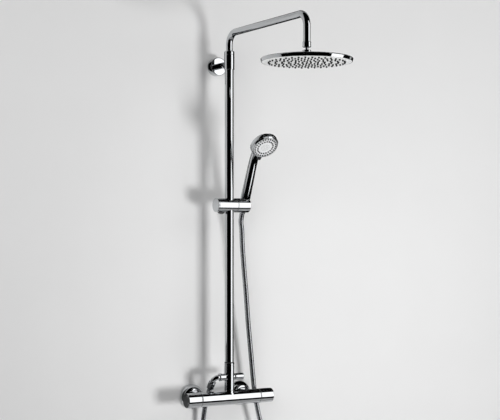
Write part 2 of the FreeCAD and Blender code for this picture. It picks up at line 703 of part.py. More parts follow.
def make_ball_stud():
    shank = ARM_R - ARM_WALL - SEAT
    shank_end = DROP_END + STUD_SHANK
    neck_foot = BALL_Z + math.sqrt(BALL_R ** 2 - STUD_NECK_R ** 2)
    outline = [
        (BALL_Z - BALL_R, 0), (BALL_Z, BALL_R, True), (neck_foot, STUD_NECK_R),
        (STUD_COLLAR_BOTTOM, STUD_NECK_R), (STUD_COLLAR_BOTTOM, STUD_COLLAR_R - EDGE),
        (STUD_COLLAR_BOTTOM + EDGE, STUD_COLLAR_R), (DROP_END - EDGE, STUD_COLLAR_R),
        (DROP_END, STUD_COLLAR_R - EDGE), (DROP_END, shank), (shank_end, shank), (shank_end, 0),
    ]
    stud = turned(outline, DROP, Z_AXIS, X_AXIS)
    return stud.cut(rod(STUD_BORE_R, DROP + Z_AXIS * (BALL_Z - BALL_R), DROP + Z_AXIS * shank_end))


def make_ball_seat():
    outer = Part.makeSphere(BALL_R + FIT + BALL_SEAT_WALL, BALL)
    seat_top = HEAD_BOSS_ABOVE - BALL_SEAT_SUNK
    band = rod(2 * BALL_R, BALL - Z_AXIS * BALL_SEAT_DOWN, BALL + Z_AXIS * seat_top)
    return outer.cut(Part.makeSphere(BALL_R + FIT, BALL)).common(band)


def make_ball_retainer():
    outline = [
        (RETAINER_BOTTOM, RETAINER_THROAT_R), (RETAINER_BOTTOM, RETAINER_R),
        (RETAINER_TOP - EDGE, RETAINER_R),
        (RETAINER_TOP, RETAINER_R - EDGE), (RETAINER_TOP, RETAINER_THROAT_R + RETAINER_FLARE),
    ]
    return turned(outline, BALL, Z_AXIS, X_AXIS)


# Rain head

HEAD_DOME_Z = BALL_Z - HEAD_DOME_BELOW
HEAD_RIM_Z = HEAD_DOME_Z - HEAD_RISE
HEAD_FACE_Z = HEAD_RIM_Z - HEAD_RIM_DEPTH
HEAD_FACE_R = HEAD_R - HEAD_RIM_WIDTH
HEAD_BOSS_R = RETAINER_R + HEAD_BOSS_STEP
HEAD_BOSS_TOP = BALL_Z + HEAD_BOSS_ABOVE
MAT_BOTTOM = HEAD_FACE_Z + FACE_THICK + SEAT


def nozzle_places(rings, origin):
    """Places on rings of (radius, count), each ring turned by half a step from the last."""
    places = []
    for k, (radius, count) in enumerate(rings):
        for i in range(count):
            turn = 2 * math.pi * (i + 0.5 * (k % 2)) / count
            places.append(origin + V(radius * math.cos(turn), radius * math.sin(turn), 0))
    return places


def rain_rings():
    """Rings of nozzles, spread evenly from the first ring to the last."""
    step = (HEAD_FACE_R - NOZZLE_EDGE - NOZZLE_FIRST_R) / (NOZZLE_RINGS - 1)
    return [(NOZZLE_FIRST_R + k * step, NOZZLE_COUNT * (k + 1)) for k in range(NOZZLE_RINGS)]


def make_head_shell():
    rim_r = HEAD_FACE_R + SEAT
    dome_mid_r = (HEAD_R + HEAD_BOSS_R) * HEAD_DOME_AT
    dome_mid_z = HEAD_RIM_Z + HEAD_RISE * HEAD_DOME_UP
    rim_top = HEAD_RIM_Z + HEAD_WALL
    outline = [
        (HEAD_FACE_Z, rim_r), (HEAD_FACE_Z, rim_r + HEAD_LIP_WALL), (HEAD_RIM_Z, HEAD_R),
        (rim_top, HEAD_R - EDGE), (dome_mid_z, dome_mid_r, True), (HEAD_DOME_Z, HEAD_BOSS_R),
        (HEAD_BOSS_TOP - EDGE, HEAD_BOSS_R), (HEAD_BOSS_TOP, HEAD_BOSS_R - EDGE), (HEAD_BOSS_TOP, 0),
        (HEAD_RIM_Z, 0), (HEAD_RIM_Z, HEAD_BOSS_R), (HEAD_DOME_Z - HEAD_WALL, HEAD_BOSS_R + HEAD_WALL),
        (dome_mid_z - HEAD_WALL, dome_mid_r, True), (HEAD_RIM_Z, HEAD_R - 2 * HEAD_WALL), (HEAD_RIM_Z, rim_r),
    ]
    shell = turned(outline, DROP, Z_AXIS, X_AXIS)
    shell = shell.cut(Part.makeSphere(BALL_R + 2 * FIT + BALL_SEAT_WALL, BALL))
    shell = shell.cut(rod(RETAINER_R + SEAT, BALL + Z_AXIS * RETAINER_BOTTOM, BALL + Z_AXIS * RETAINER_TOP))
    return shell.cut(rod(STUD_BORE_R, DROP + Z_AXIS * HEAD_RIM_Z, BALL))


def make_head_face():
    start = DROP + Z_AXIS * HEAD_FACE_Z
    wires = [Part.Wire(Part.makeCircle(HEAD_FACE_R, start))]
    for place in nozzle_places(rain_rings(), start):
        wires.append(Part.Wire(Part.makeCircle(NOZZLE_R + FREE, place)))
    return Part.Face(wires, "Part::FaceMakerBullseye").extrude(Z_AXIS * FACE_THICK)


def make_head_mat():
    start = DROP + Z_AXIS * MAT_BOTTOM
    mat = rod(HEAD_FACE_R - MAT_MARGIN, start, start + Z_AXIS * MAT_THICK)
    length = FACE_THICK + SEAT + NOZZLE_OUT
    cones = []
    for place in nozzle_places(rain_rings(), start):
        cones.append(Part.makeCone(NOZZLE_R, NOZZLE_TIP_R, length + SEAT, place + Z_AXIS * SEAT, V(0, 0, -1)))
    return mat.multiFuse(cones)


# Slider

SLIDER = on_bar(0, SLIDER_Z)
BUSH_R = RISER_R + BUSH_WALL
BUSH_COLLAR_R = BUSH_R + BUSH_COLLAR_PROUD
SLIDER_R = BUSH_COLLAR_R + SLIDER_WALL
SLIDER_CAVITY_R = SLIDER_R - CAVITY_WALL
SLIDER_CAVITY_END = BUSH_R + CAVITY_WEB
SHOE_END = -BUSH_R - SHOE_LENGTH
CAP_INNER = SHOE_END - SPRING_ROOM
SLIDER_END = CAP_INNER - SLIDER_CAP_THICK
SLIDER_SPLIT = BUSH_COLLAR_R + SPLIT_WALL
WASHER_LEFT = SLIDER_SPLIT - WASHER_THICK / 2
WASHER_RIGHT = SLIDER_SPLIT + WASHER_THICK / 2
BODY_RIGHT = WASHER_LEFT - FIT
HOLDER_LEFT = WASHER_RIGHT + FIT
PIVOT_END = BODY_RIGHT + PIVOT_LENGTH
PIVOT_ROOT = BUSH_COLLAR_R + PIVOT_WALL
TAB_RIGHT = -BUSH_COLLAR_R - TAB_GAP
TAB_LEFT = TAB_RIGHT - TAB_LENGTH
TAB_TOP = TAB_DEPTH - SLIDER_R
TAB_DROP = -SLIDER_R - TAB_REACH


def on_slider(x, z=0):
    return SLIDER + V(x, 0, z)


def tab_outline(grow, top):
    """The release tab's side, in X and Z from the slider's axis, with a rounded lower edge."""
    left, right = TAB_LEFT - grow, TAB_RIGHT + grow
    upper_left, upper_right = on_slider(left, top), on_slider(right, top)
    lower_left, lower_right = on_slider(left, -SLIDER_R), on_slider(right, -SLIDER_R)
    lowest = on_slider((left + right) / 2, TAB_DROP - grow)
    edges = [Part.makeLine(upper_left, lower_left), Part.Arc(lower_left, lowest, lower_right).toShape()]
    edges += [Part.makeLine(lower_right, upper_right), Part.makeLine(upper_right, upper_left)]
    return Part.Face(Part.Wire(edges))


def make_slider_tab():
    face = tab_outline(0, TAB_TOP)
    return face.translated(V(0, -TAB_WIDTH / 2, 0)).extrude(Y_AXIS * TAB_WIDTH)


def make_slider_body():
    body = turned(drum(SLIDER_R, CAP_INNER, BODY_RIGHT), SLIDER, X_AXIS, Z_AXIS)
    body = body.fuse(rod(PIVOT_R, on_slider(PIVOT_ROOT), on_slider(PIVOT_END)))
    low, high = on_slider(0, -SLIDER_R), on_slider(0, SLIDER_R)
    body = body.cut(rod(BUSH_R + FIT, low, high))
    groove = BUSH_COLLAR_HEIGHT / 2 + FIT
    body = body.cut(rod(BUSH_COLLAR_R + FIT, on_slider(0, -groove), on_slider(0, groove)))
    body = body.cut(rod(SLIDER_CAVITY_R, on_slider(CAP_INNER), on_slider(-SLIDER_CAVITY_END)))
    body = body.cut(rod(SHOE_R + SEAT, on_slider(-SLIDER_CAVITY_END), SLIDER))
    slot = tab_outline(FREE, TAB_TOP + TAB_TRAVEL + FREE)
    body = body.cut(slot.translated(V(0, -TAB_WIDTH / 2 - FREE, 0)).extrude(Y_AXIS * (TAB_WIDTH + 2 * FREE)))
    return body.cut(rod(SCREW_R + FIT, on_slider(PIVOT_ROOT), on_slider(PIVOT_END)))


def make_slider_cap():
    """An end cap with a hollow plug that reaches in as far as the tab's slot."""
    cap = turned(drum(SLIDER_R, SLIDER_END, CAP_INNER), SLIDER, X_AXIS, Z_AXIS)
    plug_end = on_slider(TAB_LEFT - FREE)
    return cap.fuse(tube(SLIDER_CAVITY_R - SEAT, SHOE_R, on_slider(CAP_INNER), plug_end))


def make_slide_bush():
    low, high = on_slider(0, -BUSH_HEIGHT / 2), on_slider(0, BUSH_HEIGHT / 2)
    collar = BUSH_COLLAR_HEIGHT / 2
    bush = rod(BUSH_R, low, high)
    bush = bush.fuse(rod(BUSH_COLLAR_R, on_slider(0, -collar), on_slider(0, collar)))
    return bush.cut(rod(RISER_R + FIT, low, high))


def make_clamp_shoe():
    """Presses on the bush, with its end hollowed to the bush's round."""
    shoe = rod(SHOE_R, on_slider(SHOE_END), SLIDER)
    low, high = on_slider(0, -SLIDER_R), on_slider(0, SLIDER_R)
    return shoe.cut(rod(BUSH_COLLAR_R + FIT, low, high))


def make_clamp_spring():
    """Dished spring washers between the end cap and the shoe, each facing the other way from the last."""
    step = SPRING_ROOM / SPRING_DISCS
    thick = step * SPRING_SHARE
    discs = []
    for k in range(SPRING_DISCS):
        low = CAP_INNER + k * step + FIT / 2
        high = CAP_INNER + (k + 1) * step - FIT / 2
        inner_r, outer_r = SHOE_R / 2, SHOE_R - SEAT
        if k % 2:
            inner_r, outer_r = outer_r, inner_r
        outline = [(low, inner_r), (low + thick, inner_r), (high, outer_r), (high - thick, outer_r)]
        discs.append(turned(outline, SLIDER, X_AXIS, Z_AXIS))
    return Part.makeCompound(discs)


# Holder and hose cone

WEB_END = PIVOT_END + FREE + PIVOT_WEB
HOLDER_X = WEB_END + SCREW_HEAD_THICK + HOLDER_ROOM + SEAT_TOP_R
HOLDER_RIGHT = HOLDER_X + SEAT_TOP_R + HOLDER_WALL
HOLDER = on_slider(HOLDER_X)
LEAN = math.radians(HOLDER_LEAN)
UP_HANDLE = V(0, -math.sin(LEAN), math.cos(LEAN))
CONE_BELOW = SLIDER_R + CONE_TAIL
CONE_ABOVE = SLIDER_R + CONE_PROUD
CONE_SOCKET_R = SEAT_BOTTOM_R - SOCKET_STEP
HOSE_END = HOLDER - UP_HANDLE * (CONE_BELOW + SEAT)


def seat_radius(along):
    """The holder's tapered seat, by distance along the handle's axis."""
    share = (along + SLIDER_R) / (2 * SLIDER_R)
    return SEAT_BOTTOM_R + (SEAT_TOP_R - SEAT_BOTTOM_R) * share


def taper(low, high, grow):
    start = HOLDER + UP_HANDLE * low
    return Part.makeCone(seat_radius(low) + grow, seat_radius(high) + grow, high - low, start, UP_HANDLE)


def make_holder():
    holder = turned(drum(SLIDER_R, HOLDER_LEFT, HOLDER_RIGHT), SLIDER, X_AXIS, Z_AXIS)
    holder = holder.cut(taper(-2 * SLIDER_R, 2 * SLIDER_R, 0))
    holder = holder.cut(rod(PIVOT_R + FIT, on_slider(HOLDER_LEFT), on_slider(PIVOT_END + FREE)))
    holder = holder.cut(rod(SCREW_R + SEAT, on_slider(HOLDER_LEFT), on_slider(HOLDER_X)))
    return holder.cut(rod(SCREW_HEAD_R + SEAT, on_slider(WEB_END), on_slider(HOLDER_X)))


def make_holder_washer():
    return tube(WASHER_R, PIVOT_R + FREE, on_slider(WASHER_LEFT), on_slider(WASHER_RIGHT))


def make_holder_screw():
    head_start = WEB_END + FIT
    screw = rod(SCREW_R, on_slider(PIVOT_ROOT), on_slider(head_start))
    return screw.fuse(rod(SCREW_HEAD_R, on_slider(head_start), on_slider(head_start + SCREW_HEAD_THICK)))


def make_hose_cone():
    cone = taper(-CONE_BELOW, CONE_ABOVE, -FREE)
    socket = HOLDER + UP_HANDLE * (CONE_ABOVE - CONE_SOCKET)
    cone = cone.cut(rod(CONE_SOCKET_R + FIT, socket, HOLDER + UP_HANDLE * CONE_ABOVE))
    return cone.cut(rod(HOSE_BORE_R, HOLDER - UP_HANDLE * CONE_BELOW, socket))


# Hand shower

HANDLE_BOTTOM = CONE_ABOVE + HANDLE_SEAT_GAP
INLET_FLANGE_R = CONE_SOCKET_R + FLANGE_PROUD
NECK_TOP, NECK_OUT = NECK[-1]
WATER_TUBE_TOP = HANDLE_BOTTOM + NECK[NECK_BEND_INDEX][0] - WATER_TUBE_SHORT
RING_R = HAND_HEAD_R - RING_STEP
RING_INNER_R = RING_R - RING_WIDTH
HAND_FACE_R = RING_INNER_R - FREE
FACE_TILT = math.radians(FACE_LEAN)
FACE = V(0, NECK_OUT - FACE_FORWARD, HANDLE_BOTTOM + NECK_TOP - FACE_LOWER)
FACE_BACK = V(0, math.cos(FACE_TILT), math.sin(FACE_TILT))


def placed(shape):
    """From the hand shower's own frame to where it rests in the holder."""
    shape = shape.copy()
    shape.rotate(V(0, 0, 0), Z_AXIS, HANDSET_TURN)
    shape.rotate(V(0, 0, 0), X_AXIS, HOLDER_LEAN)
    shape.translate(HOLDER)
    return shape


def handle_loft(inset, start, end):
    """The handle and neck: rings along a line that bends forward into the head."""
    rings = []
    line = [V(0, out, HANDLE_BOTTOM + along) for along, out in NECK]
    line[0] = V(0, 0, start)
    line[-1] = line[-1] + (line[-1] - line[-2]).normalize() * end
    for i, centre in enumerate(line):
        ahead = line[min(i + 1, len(line) - 1)] - line[max(i - 1, 0)]
        if i == 0:
            ahead = Z_AXIS
        share = i / (len(line) - 1)
        radius = HANDLE_BOTTOM_R + (HANDLE_TOP_R - HANDLE_BOTTOM_R) * share - inset
        rings.append(Part.Wire(Part.makeCircle(radius, centre, ahead)))
    return Part.makeLoft(rings, True, False)


def head_back(inset, front):
    """The hand shower's round head behind its face, turned about the face's axis."""
    rim = HAND_HEAD_R - inset
    depth = HAND_HEAD_DEPTH - inset
    outline = [
        (front, 0), (front, rim), (HAND_RIM_DEPTH, rim), (depth * HAND_DOME_AT, rim * HAND_DOME_R, True),
        (depth, rim * HAND_CROWN_R), (depth, 0),
    ]
    return turned(outline, FACE, FACE_BACK, X_AXIS)


def make_handset_shell():
    outer = handle_loft(0, HANDLE_BOTTOM, NECK_INTO_HEAD)
    outer = outer.fuse(head_back(0, RING_THICK - RING_PROUD + SEAT))
    bottom = HANDLE_BOTTOM + INLET_FLANGE_THICK + SEAT
    shell = outer.cut(handle_loft(HANDSET_WALL, bottom, 0))
    shell = shell.cut(head_back(HANDSET_WALL, -RING_THICK))
    mouth = V(0, 0, HANDLE_BOTTOM)
    shell = shell.cut(rod(INLET_FLANGE_R + SEAT, mouth, mouth + Z_AXIS * (INLET_FLANGE_THICK + SEAT)))
    return placed(shell)


def make_handset_inlet():
    low = HANDLE_BOTTOM - CONE_SOCKET + FREE
    flange_top = HANDLE_BOTTOM + INLET_FLANGE_THICK
    inlet = rod(CONE_SOCKET_R, V(0, 0, low), V(0, 0, flange_top))
    inlet = inlet.fuse(rod(INLET_FLANGE_R, V(0, 0, HANDLE_BOTTOM + FIT), V(0, 0, flange_top)))
    return placed(inlet.cut(rod(HOSE_BORE_R, V(0, 0, low), V(0, 0, flange_top))))


def make_water_tube():
    low = HANDLE_BOTTOM + INLET_FLANGE_THICK
    return placed(tube(WATER_TUBE_R, HOSE_BORE_R, V(0, 0, low), V(0, 0, WATER_TUBE_TOP)))


def on_face(shape):
    """From a flat layout, with the spray side down, to the hand shower's face."""
    shape = shape.copy()
    shape.rotate(V(0, 0, 0), X_AXIS, -(90 - FACE_LEAN))
    shape.translate(FACE)
    return placed(shape)


def hand_rings():
    """The two rings of nozzles, measured in from the plate's edge."""
    return [(HAND_FACE_R - inset, count) for inset, count in zip(HAND_ROW_INSETS, HAND_ROW_COUNTS)]


def make_handset_face():
    """A plate with a nozzle pattern and a shallow middle."""
    wires = [Part.Wire(Part.makeCircle(HAND_FACE_R))]
    for place in nozzle_places(hand_rings(), V(0, 0, 0)):
        wires.append(Part.Wire(Part.makeCircle(HAND_NOZZLE_R + SEAT, place)))
    plate = Part.Face(wires, "Part::FaceMakerBullseye").extrude(Z_AXIS * HAND_FACE_THICK)
    return on_face(plate.cut(rod(HAND_CENTRE_R, V(0, 0, 0), V(0, 0, HAND_CENTRE_DEPTH))))


def make_handset_mat():
    start = HAND_FACE_THICK + SEAT
    mat = rod(HAND_FACE_R, V(0, 0, start), V(0, 0, start + HAND_MAT_THICK))
    length = start + HAND_NOZZLE_OUT + SEAT
    cones = []
    for place in nozzle_places(hand_rings(), V(0, 0, start + SEAT)):
        cones.append(Part.makeCone(HAND_NOZZLE_R, HAND_NOZZLE_TIP_R, length, place, V(0, 0, -1)))
    return on_face(mat.multiFuse(cones))


def make_selector_ring():
    """The turning rim round the face, with a finger tab towards the handle."""
    back = RING_THICK - RING_PROUD
    outline = [
        (-RING_PROUD, 0), (-RING_PROUD, RING_INNER_R + RING_LAND), (back - RING_RIM, RING_R), (back, RING_R),
        (back, 0),
    ]
    ring = turned(outline, V(0, 0, 0), Z_AXIS, X_AXIS)
    corner = V(-RING_TAB_WIDTH / 2, 0, EDGE - RING_PROUD)
    tab = Part.makeBox(RING_TAB_WIDTH, RING_R + RING_TAB_REACH, RING_THICK - 2 * EDGE, corner)
    ring = ring.fuse(tab)
    return on_face(ring.cut(rod(RING_INNER_R, V(0, 0, -RING_THICK), V(0, 0, RING_THICK))))


# Hose

HOSE_VALLEY_R = HOSE_R - HOSE_RIB_DEPTH


def hose_route():
    points = [HOSE_START, HOSE_START + ELBOW_DOWN * HOSE_LEAD_IN] + [V(*p) for p in HOSE_POINTS]
    points += [HOSE_END - UP_HANDLE * HOSE_LEAD_OUT, HOSE_END]
    radii = []
    for i in range(1, len(points) - 1):
        before, after = points[i] - points[i - 1], points[i + 1] - points[i]
        turn = before.getAngle(after)
        radii.append(HOSE_ARC_SHARE * min(before.Length, after.Length) / math.tan(turn / 2))
    return points, radii, route(points, radii)


def leg_length(leg):
    start, end, centre = leg
    if centre is None:
        return (end - start).Length
    return (start - centre).Length * (start - centre).getAngle(end - centre)


def hose_at(legs, along):
    """The place and the direction at a distance along the route."""
    for leg in legs:
        length = leg_length(leg)
        if along <= length or leg is legs[-1]:
            start, end, centre = leg
            if centre is None:
                return start + (end - start) * (along / length), (end - start).normalize()
            arm = start - centre
            axis = arm.cross(end - centre).normalize()
            turn = FreeCAD.Rotation(axis, math.degrees(along / arm.Length))
            arm = turn.multVec(arm)
            return centre + arm, axis.cross(arm).normalize()
        along -= length
    return legs[-1][1], None


def hose_ring(legs, along, radius):
    """A circle across the hose, with its start always turned the same way."""
    centre, direction = hose_at(legs, along)
    side = (Y_AXIS - direction * Y_AXIS.dot(direction)).normalize()
    other = direction.cross(side)
    turn = FreeCAD.Rotation(side, other, direction, "ZXY")
    ring = Part.Wire(Part.makeCircle(radius))
    ring.Placement = FreeCAD.Placement(centre, turn)
    return ring


def make_hose():
    points, radii, legs = hose_route()
    length = sum(leg_length(leg) for leg in legs)
    runs = [(b - a).Length for a, b in zip(points, points[1:])]
    print("hose length", round(length, 1), "longest run", round(max(runs), 1))
    print("hose bend radii", [round(r) for r in radii])
    end_run = 2 * HOSE_R
    pitch = (length - 2 * end_run) / HOSE_RIB_COUNT
    stations = [(0.0, HOSE_VALLEY_R)]
    for k in range(HOSE_RIB_COUNT):
        start = end_run + k * pitch
        stations += [(start, HOSE_VALLEY_R), (start + RIB_RISE_SHARE * pitch, HOSE_R)]
        stations += [(start + RIB_FALL_SHARE * pitch, HOSE_R), (start + RIB_END_SHARE * pitch, HOSE_VALLEY_R)]
    stations.append((length, HOSE_VALLEY_R))
    outer = [hose_ring(legs, along, radius) for along, radius in stations]
    inner = [hose_ring(legs, along, HOSE_BORE_R) for along, radius in stations[::4] + stations[-1:]]
    ends = [Part.Face([outer[k], inner[k]], "Part::FaceMakerBullseye") for k in (0, -1)]
    skin = Part.makeLoft(outer, False, True).Faces + Part.makeLoft(inner, False, True).Faces + ends
    hose = Part.Solid(Part.Shell(skin))
    hose.fix(1e-6, 1e-7, 1e-6)
    return hose


def main():
    os.makedirs("parts", exist_ok=True)
    keep("valve_body", make_valve_body())
    for side, name, inlet in ((-1, "flow", "left"), (1, "temperature", "right")):
        x = side * INLET_X
        keep(name + "_cartridge", make_cartridge(side))
        keep(name + "_spindle", make_spindle(side))
        keep(name + "_handle", make_handle(side))
        keep(name + "_handle_screw", make_handle_screw(side))
        keep(name + "_handle_cap", make_handle_cap(side))
        keep(inlet + "_union", make_union(x))
        keep(inlet + "_union_nut", make_union_nut(x))
        keep(inlet + "_rosette", make_rosette(x))
    keep("inlet_filters", make_filters())
    keep("diverter_body", make_diverter_body())
    keep("diverter_seat", make_diverter_seat())
    keep("diverter_spindle", make_diverter_spindle())
    keep("diverter_knob", make_diverter_knob())
    keep("elbow_collar", make_elbow_collar())
    keep("hose_elbow", make_hose_elbow())
    keep("hose_nut", make_hose_nut())
    keep("riser_tube", make_riser())
    keep("riser_seal", make_riser_seal())
    keep("bracket_sleeve", make_bracket_sleeve())
    keep("bracket_stem", make_bracket_stem())
    keep("bracket_grub_screw", make_grub_screw())
    keep("bracket_rosette", make_bracket_rosette())
    keep("bracket_wall_bolt", make_wall_bolt())
    keep("arm_gland", make_arm_gland())
    keep("shower_arm", make_arm())
    keep("arm_seals", make_arm_seals())
    keep("ball_stud", make_ball_stud())
    keep("ball_seat", make_ball_seat())
    keep("ball_retainer", make_ball_retainer())
    keep("head_shell", make_head_shell())
    keep("head_face", make_head_face())
    keep("head_nozzle_mat", make_head_mat())
    keep("slider_body", make_slider_body())
    keep("slider_cap", make_slider_cap())
    keep("slider_tab", make_slider_tab())
    keep("slide_bush", make_slide_bush())
    keep("clamp_shoe", make_clamp_shoe())
    keep("clamp_spring", make_clamp_spring())
    keep("handset_holder", make_holder())
    keep("holder_washer", make_holder_washer())
    keep("holder_screw", make_holder_screw())
    keep("hose_cone", make_hose_cone())
    keep("handset_shell", make_handset_shell())
    keep("handset_inlet", make_handset_inlet())
    keep("handset_water_tube", make_water_tube())
    keep("handset_face", make_handset_face())
    keep("handset_nozzle_mat", make_handset_mat())
    keep("selector_ring", make_selector_ring())
    keep("shower_hose", make_hose())


main()
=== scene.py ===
import math
import bmesh
import bpy
from mathutils import Matrix, Vector


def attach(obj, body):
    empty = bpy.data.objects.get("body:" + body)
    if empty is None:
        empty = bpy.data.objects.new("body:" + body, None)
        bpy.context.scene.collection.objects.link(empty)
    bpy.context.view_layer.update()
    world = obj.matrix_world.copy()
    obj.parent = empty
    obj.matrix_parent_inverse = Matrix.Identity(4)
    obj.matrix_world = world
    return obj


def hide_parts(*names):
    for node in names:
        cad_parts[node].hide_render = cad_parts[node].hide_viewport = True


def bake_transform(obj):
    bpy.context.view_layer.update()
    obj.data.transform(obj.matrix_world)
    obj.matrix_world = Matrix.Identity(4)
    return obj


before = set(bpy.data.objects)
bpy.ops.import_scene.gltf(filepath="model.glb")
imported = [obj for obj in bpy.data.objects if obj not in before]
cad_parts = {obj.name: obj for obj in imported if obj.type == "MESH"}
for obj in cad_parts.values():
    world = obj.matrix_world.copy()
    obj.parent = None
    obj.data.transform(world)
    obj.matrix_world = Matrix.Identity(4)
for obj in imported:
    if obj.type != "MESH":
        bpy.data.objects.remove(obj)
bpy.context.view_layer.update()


# Camera
# The lens is level and three and a half metres away, to the left of the column, and long enough to keep the
# riser upright. Its frame is raised, so that the bar valve comes near the lower edge.
PHOTO_WIDTH = 500
FOCAL_PIXELS = 1276
AXIS_BELOW_MIDDLE = 25.9
FILM_WIDTH = 36.0
CAMERA_PLACE = (-1.7066, -3.0965, 0.4397)
CAMERA_TURN = (math.radians(90), 0, math.radians(-30.42))

camera_data = bpy.data.cameras.new("photo_camera")
camera_data.sensor_width = FILM_WIDTH
camera_data.lens = FILM_WIDTH * FOCAL_PIXELS / PHOTO_WIDTH
camera_data.shift_y = AXIS_BELOW_MIDDLE / PHOTO_WIDTH
camera = bpy.data.objects.new("photo_camera", camera_data)
camera.location = CAMERA_PLACE
camera.rotation_euler = CAMERA_TURN
bpy.context.scene.collection.objects.link(camera)
bpy.context.scene.camera = camera
bpy.context.scene.view_settings.view_transform = "Standard"


# Wall and floor
# A smooth plastered wall in pale grey, and a floor of the same paint, about a metre below the bar valve.
# From behind, the wall lets the view through, so that the wall side of the column can be looked at.
MM = 0.001
WALL_GREY = "#eeeeee"
FLOOR_GREY = "#d9d9d9"
WALL_Y = 0.0006
WALL_HALF_WIDTH = 2.6
WALL_TOP = 2.4
FLOOR_LEVEL = -1.05
FLOOR_DEPTH = 1.0
PLASTER_MOTTLE_MM = 180.0
PLASTER_MOTTLE_TONE = 0.97
PLASTER_GRAIN_MM = 2.5
PLASTER_GRAIN_DEPTH_MM = 0.4
PLASTER_GRAIN_STRENGTH = 0.04
PLASTER_ROUGH = 0.85


def paint(hex_value):
    """An sRGB hex colour as linear red, green, blue and alpha."""
    channels = [int(hex_value[k:k + 2], 16) / 255 for k in (1, 3, 5)]
    return tuple(c / 12.92 if c <= 0.04045 else ((c + 0.055) / 1.055) ** 2.4 for c in channels) + (1.0,)


def add_node(tree, kind, values, links=()):
    """Adds one node, sets its own settings or its sockets, and links (node, output, socket) into it."""
    new = tree.nodes.new(kind)
    for name, value in values.items():
        if isinstance(name, str) and hasattr(new, name):
            setattr(new, name, value)
        else:
            new.inputs[name].default_value = value
    for source, output, socket in links:
        tree.links.new(source.outputs[output], new.inputs[socket])
    return new


def start_material(name):
    """An empty material and its node tree."""
    material = bpy.data.materials.new(name)
    material.use_nodes = True
    material.node_tree.nodes.clear()
    return material, material.node_tree


def shade(colour, factor, lift=0.0):
    """A colour made darker or lighter, with its alpha kept at one."""
    return [min(1.0, c * factor + lift) for c in colour[:3]] + [1.0]


def plaster(name, grey, see_through):
    """Painted plaster: matt, with a faint mottle from the roller and a fine grain."""
    material, tree = start_material(name)
    place = add_node(tree, "ShaderNodeTexCoord", {})
    patches = {"Scale": 1 / (PLASTER_MOTTLE_MM * MM), "Detail": 2.0}
    mottle = add_node(tree, "ShaderNodeTexNoise", patches, [(place, "Object", "Vector")])
    tone = add_node(tree, "ShaderNodeValToRGB", {}, [(mottle, "Fac", "Fac")])
    tone.color_ramp.elements[0].color = shade(paint(grey), PLASTER_MOTTLE_TONE)
    tone.color_ramp.elements[1].color = paint(grey)
    grit = {"Scale": 1 / (PLASTER_GRAIN_MM * MM), "Detail": 3.0}
    grain = add_node(tree, "ShaderNodeTexNoise", grit, [(place, "Object", "Vector")])
    depth = {"Strength": PLASTER_GRAIN_STRENGTH, "Distance": PLASTER_GRAIN_DEPTH_MM * MM}
    bump = add_node(tree, "ShaderNodeBump", depth, [(grain, "Fac", "Height")])
    surface = add_node(
        tree, "ShaderNodeBsdfPrincipled", {"Roughness": PLASTER_ROUGH},
        [(tone, "Color", "Base Color"), (bump, "Normal", "Normal")])
    if see_through:
        side = add_node(tree, "ShaderNodeNewGeometry", {})
        clear = add_node(tree, "ShaderNodeBsdfTransparent", {})
        surface = add_node(
            tree, "ShaderNodeMixShader", {},
            [(side, "Backfacing", 0), (surface, 0, 1), (clear, 0, 2)])
    add_node(tree, "ShaderNodeOutputMaterial", {}, [(surface, 0, "Surface")])
    return material


def stage_plane(name, corners, material):
    """A flat backdrop that isn't part of the object."""
    bm = bmesh.new()
    bm.faces.new([bm.verts.new(c) for c in corners])
    mesh = bpy.data.meshes.new(name)
    bm.to_mesh(mesh)
    bm.free()
    mesh.materials.append(material)
    plane = bpy.data.objects.new(name, mesh)
    bpy.context.scene.collection.objects.link(plane)
    return plane


def rectangle(left, right, low, high):
    """The four corners of a flat rectangle, in turn."""
    return (left, low), (right, low), (right, high), (left, high)


wall_corners = rectangle(-WALL_HALF_WIDTH, WALL_HALF_WIDTH, FLOOR_LEVEL, WALL_TOP)
stage_plane("wall", [(x, WALL_Y, z) for x, z in wall_corners], plaster("wall_plaster", WALL_GREY, True))
floor_corners = rectangle(-WALL_HALF_WIDTH, WALL_HALF_WIDTH, -FLOOR_DEPTH, WALL_Y)
floor_paint = plaster("floor_paint", FLOOR_GREY, False)
stage_plane("floor", [(x, y, FLOOR_LEVEL) for x, y in floor_corners], floor_paint)


# Studio light
# A low lamp at the right throws soft shadows to the left, and wide lamps even out the wall. The polish
# mirrors none of them, but one tall softbox, black sheets round the stage and painted dark reflections at the
# wall.
KEY_PLACE = (0.85, -1.9, -0.15)
KEY_AIM = (0.2, 0.0, 1.2)
KEY_SIZE = 0.56
KEY_WATTS = 28.0
FILL_SIZE = 1.6
LEFT_PLACE = (-1.8, -1.7, 1.0)
LEFT_AIM = (-0.9, 0.0, 0.4)
LEFT_WATTS = 21.0
RIGHT_PLACE = (1.8, -1.8, 1.9)
RIGHT_AIM = (1.2, 0.0, 1.3)
RIGHT_WATTS = 17.5
BOUNCE_PLACE = (0.0, -0.7, -0.9)
BOUNCE_AIM = (0.0, -0.6, 0.86)
BOUNCE_SIZE = 0.8
BOUNCE_WATTS = 1.9
BOUNCE_SPREAD = math.radians(70)
SOFTBOX_LEFT = 0.45
SOFTBOX_RIGHT = 2.1
SOFTBOX_LOW = -0.46
SOFTBOX_HIGH = 1.65
SOFTBOX_Y = -1.28
SOFTBOX_LEVEL = 1.9
REFLECTION_ONLY_BLACK = "#080808"
# Grey of the painted shade patch left of the bar.
PAINTED_SHADE_GREY = "#5c5c5c"
CARD_OFF_WALL = 0.004
# Black patch beside the riser, seen only by the polish: a painted dark reflection that darkens the chrome's
# right edges.
RIGHT_PAINTED_DARK_REFLECTION = (0.035, 1.5, 0.03, 1.9)
# Grey patch left of the bar, seen only by the polish: painted shade, the bar's shadow on the wall as the
# chrome mirrors it.
LOW_PAINTED_SHADE_REFLECTION = (-0.55, -0.112, -0.3, 0.13)
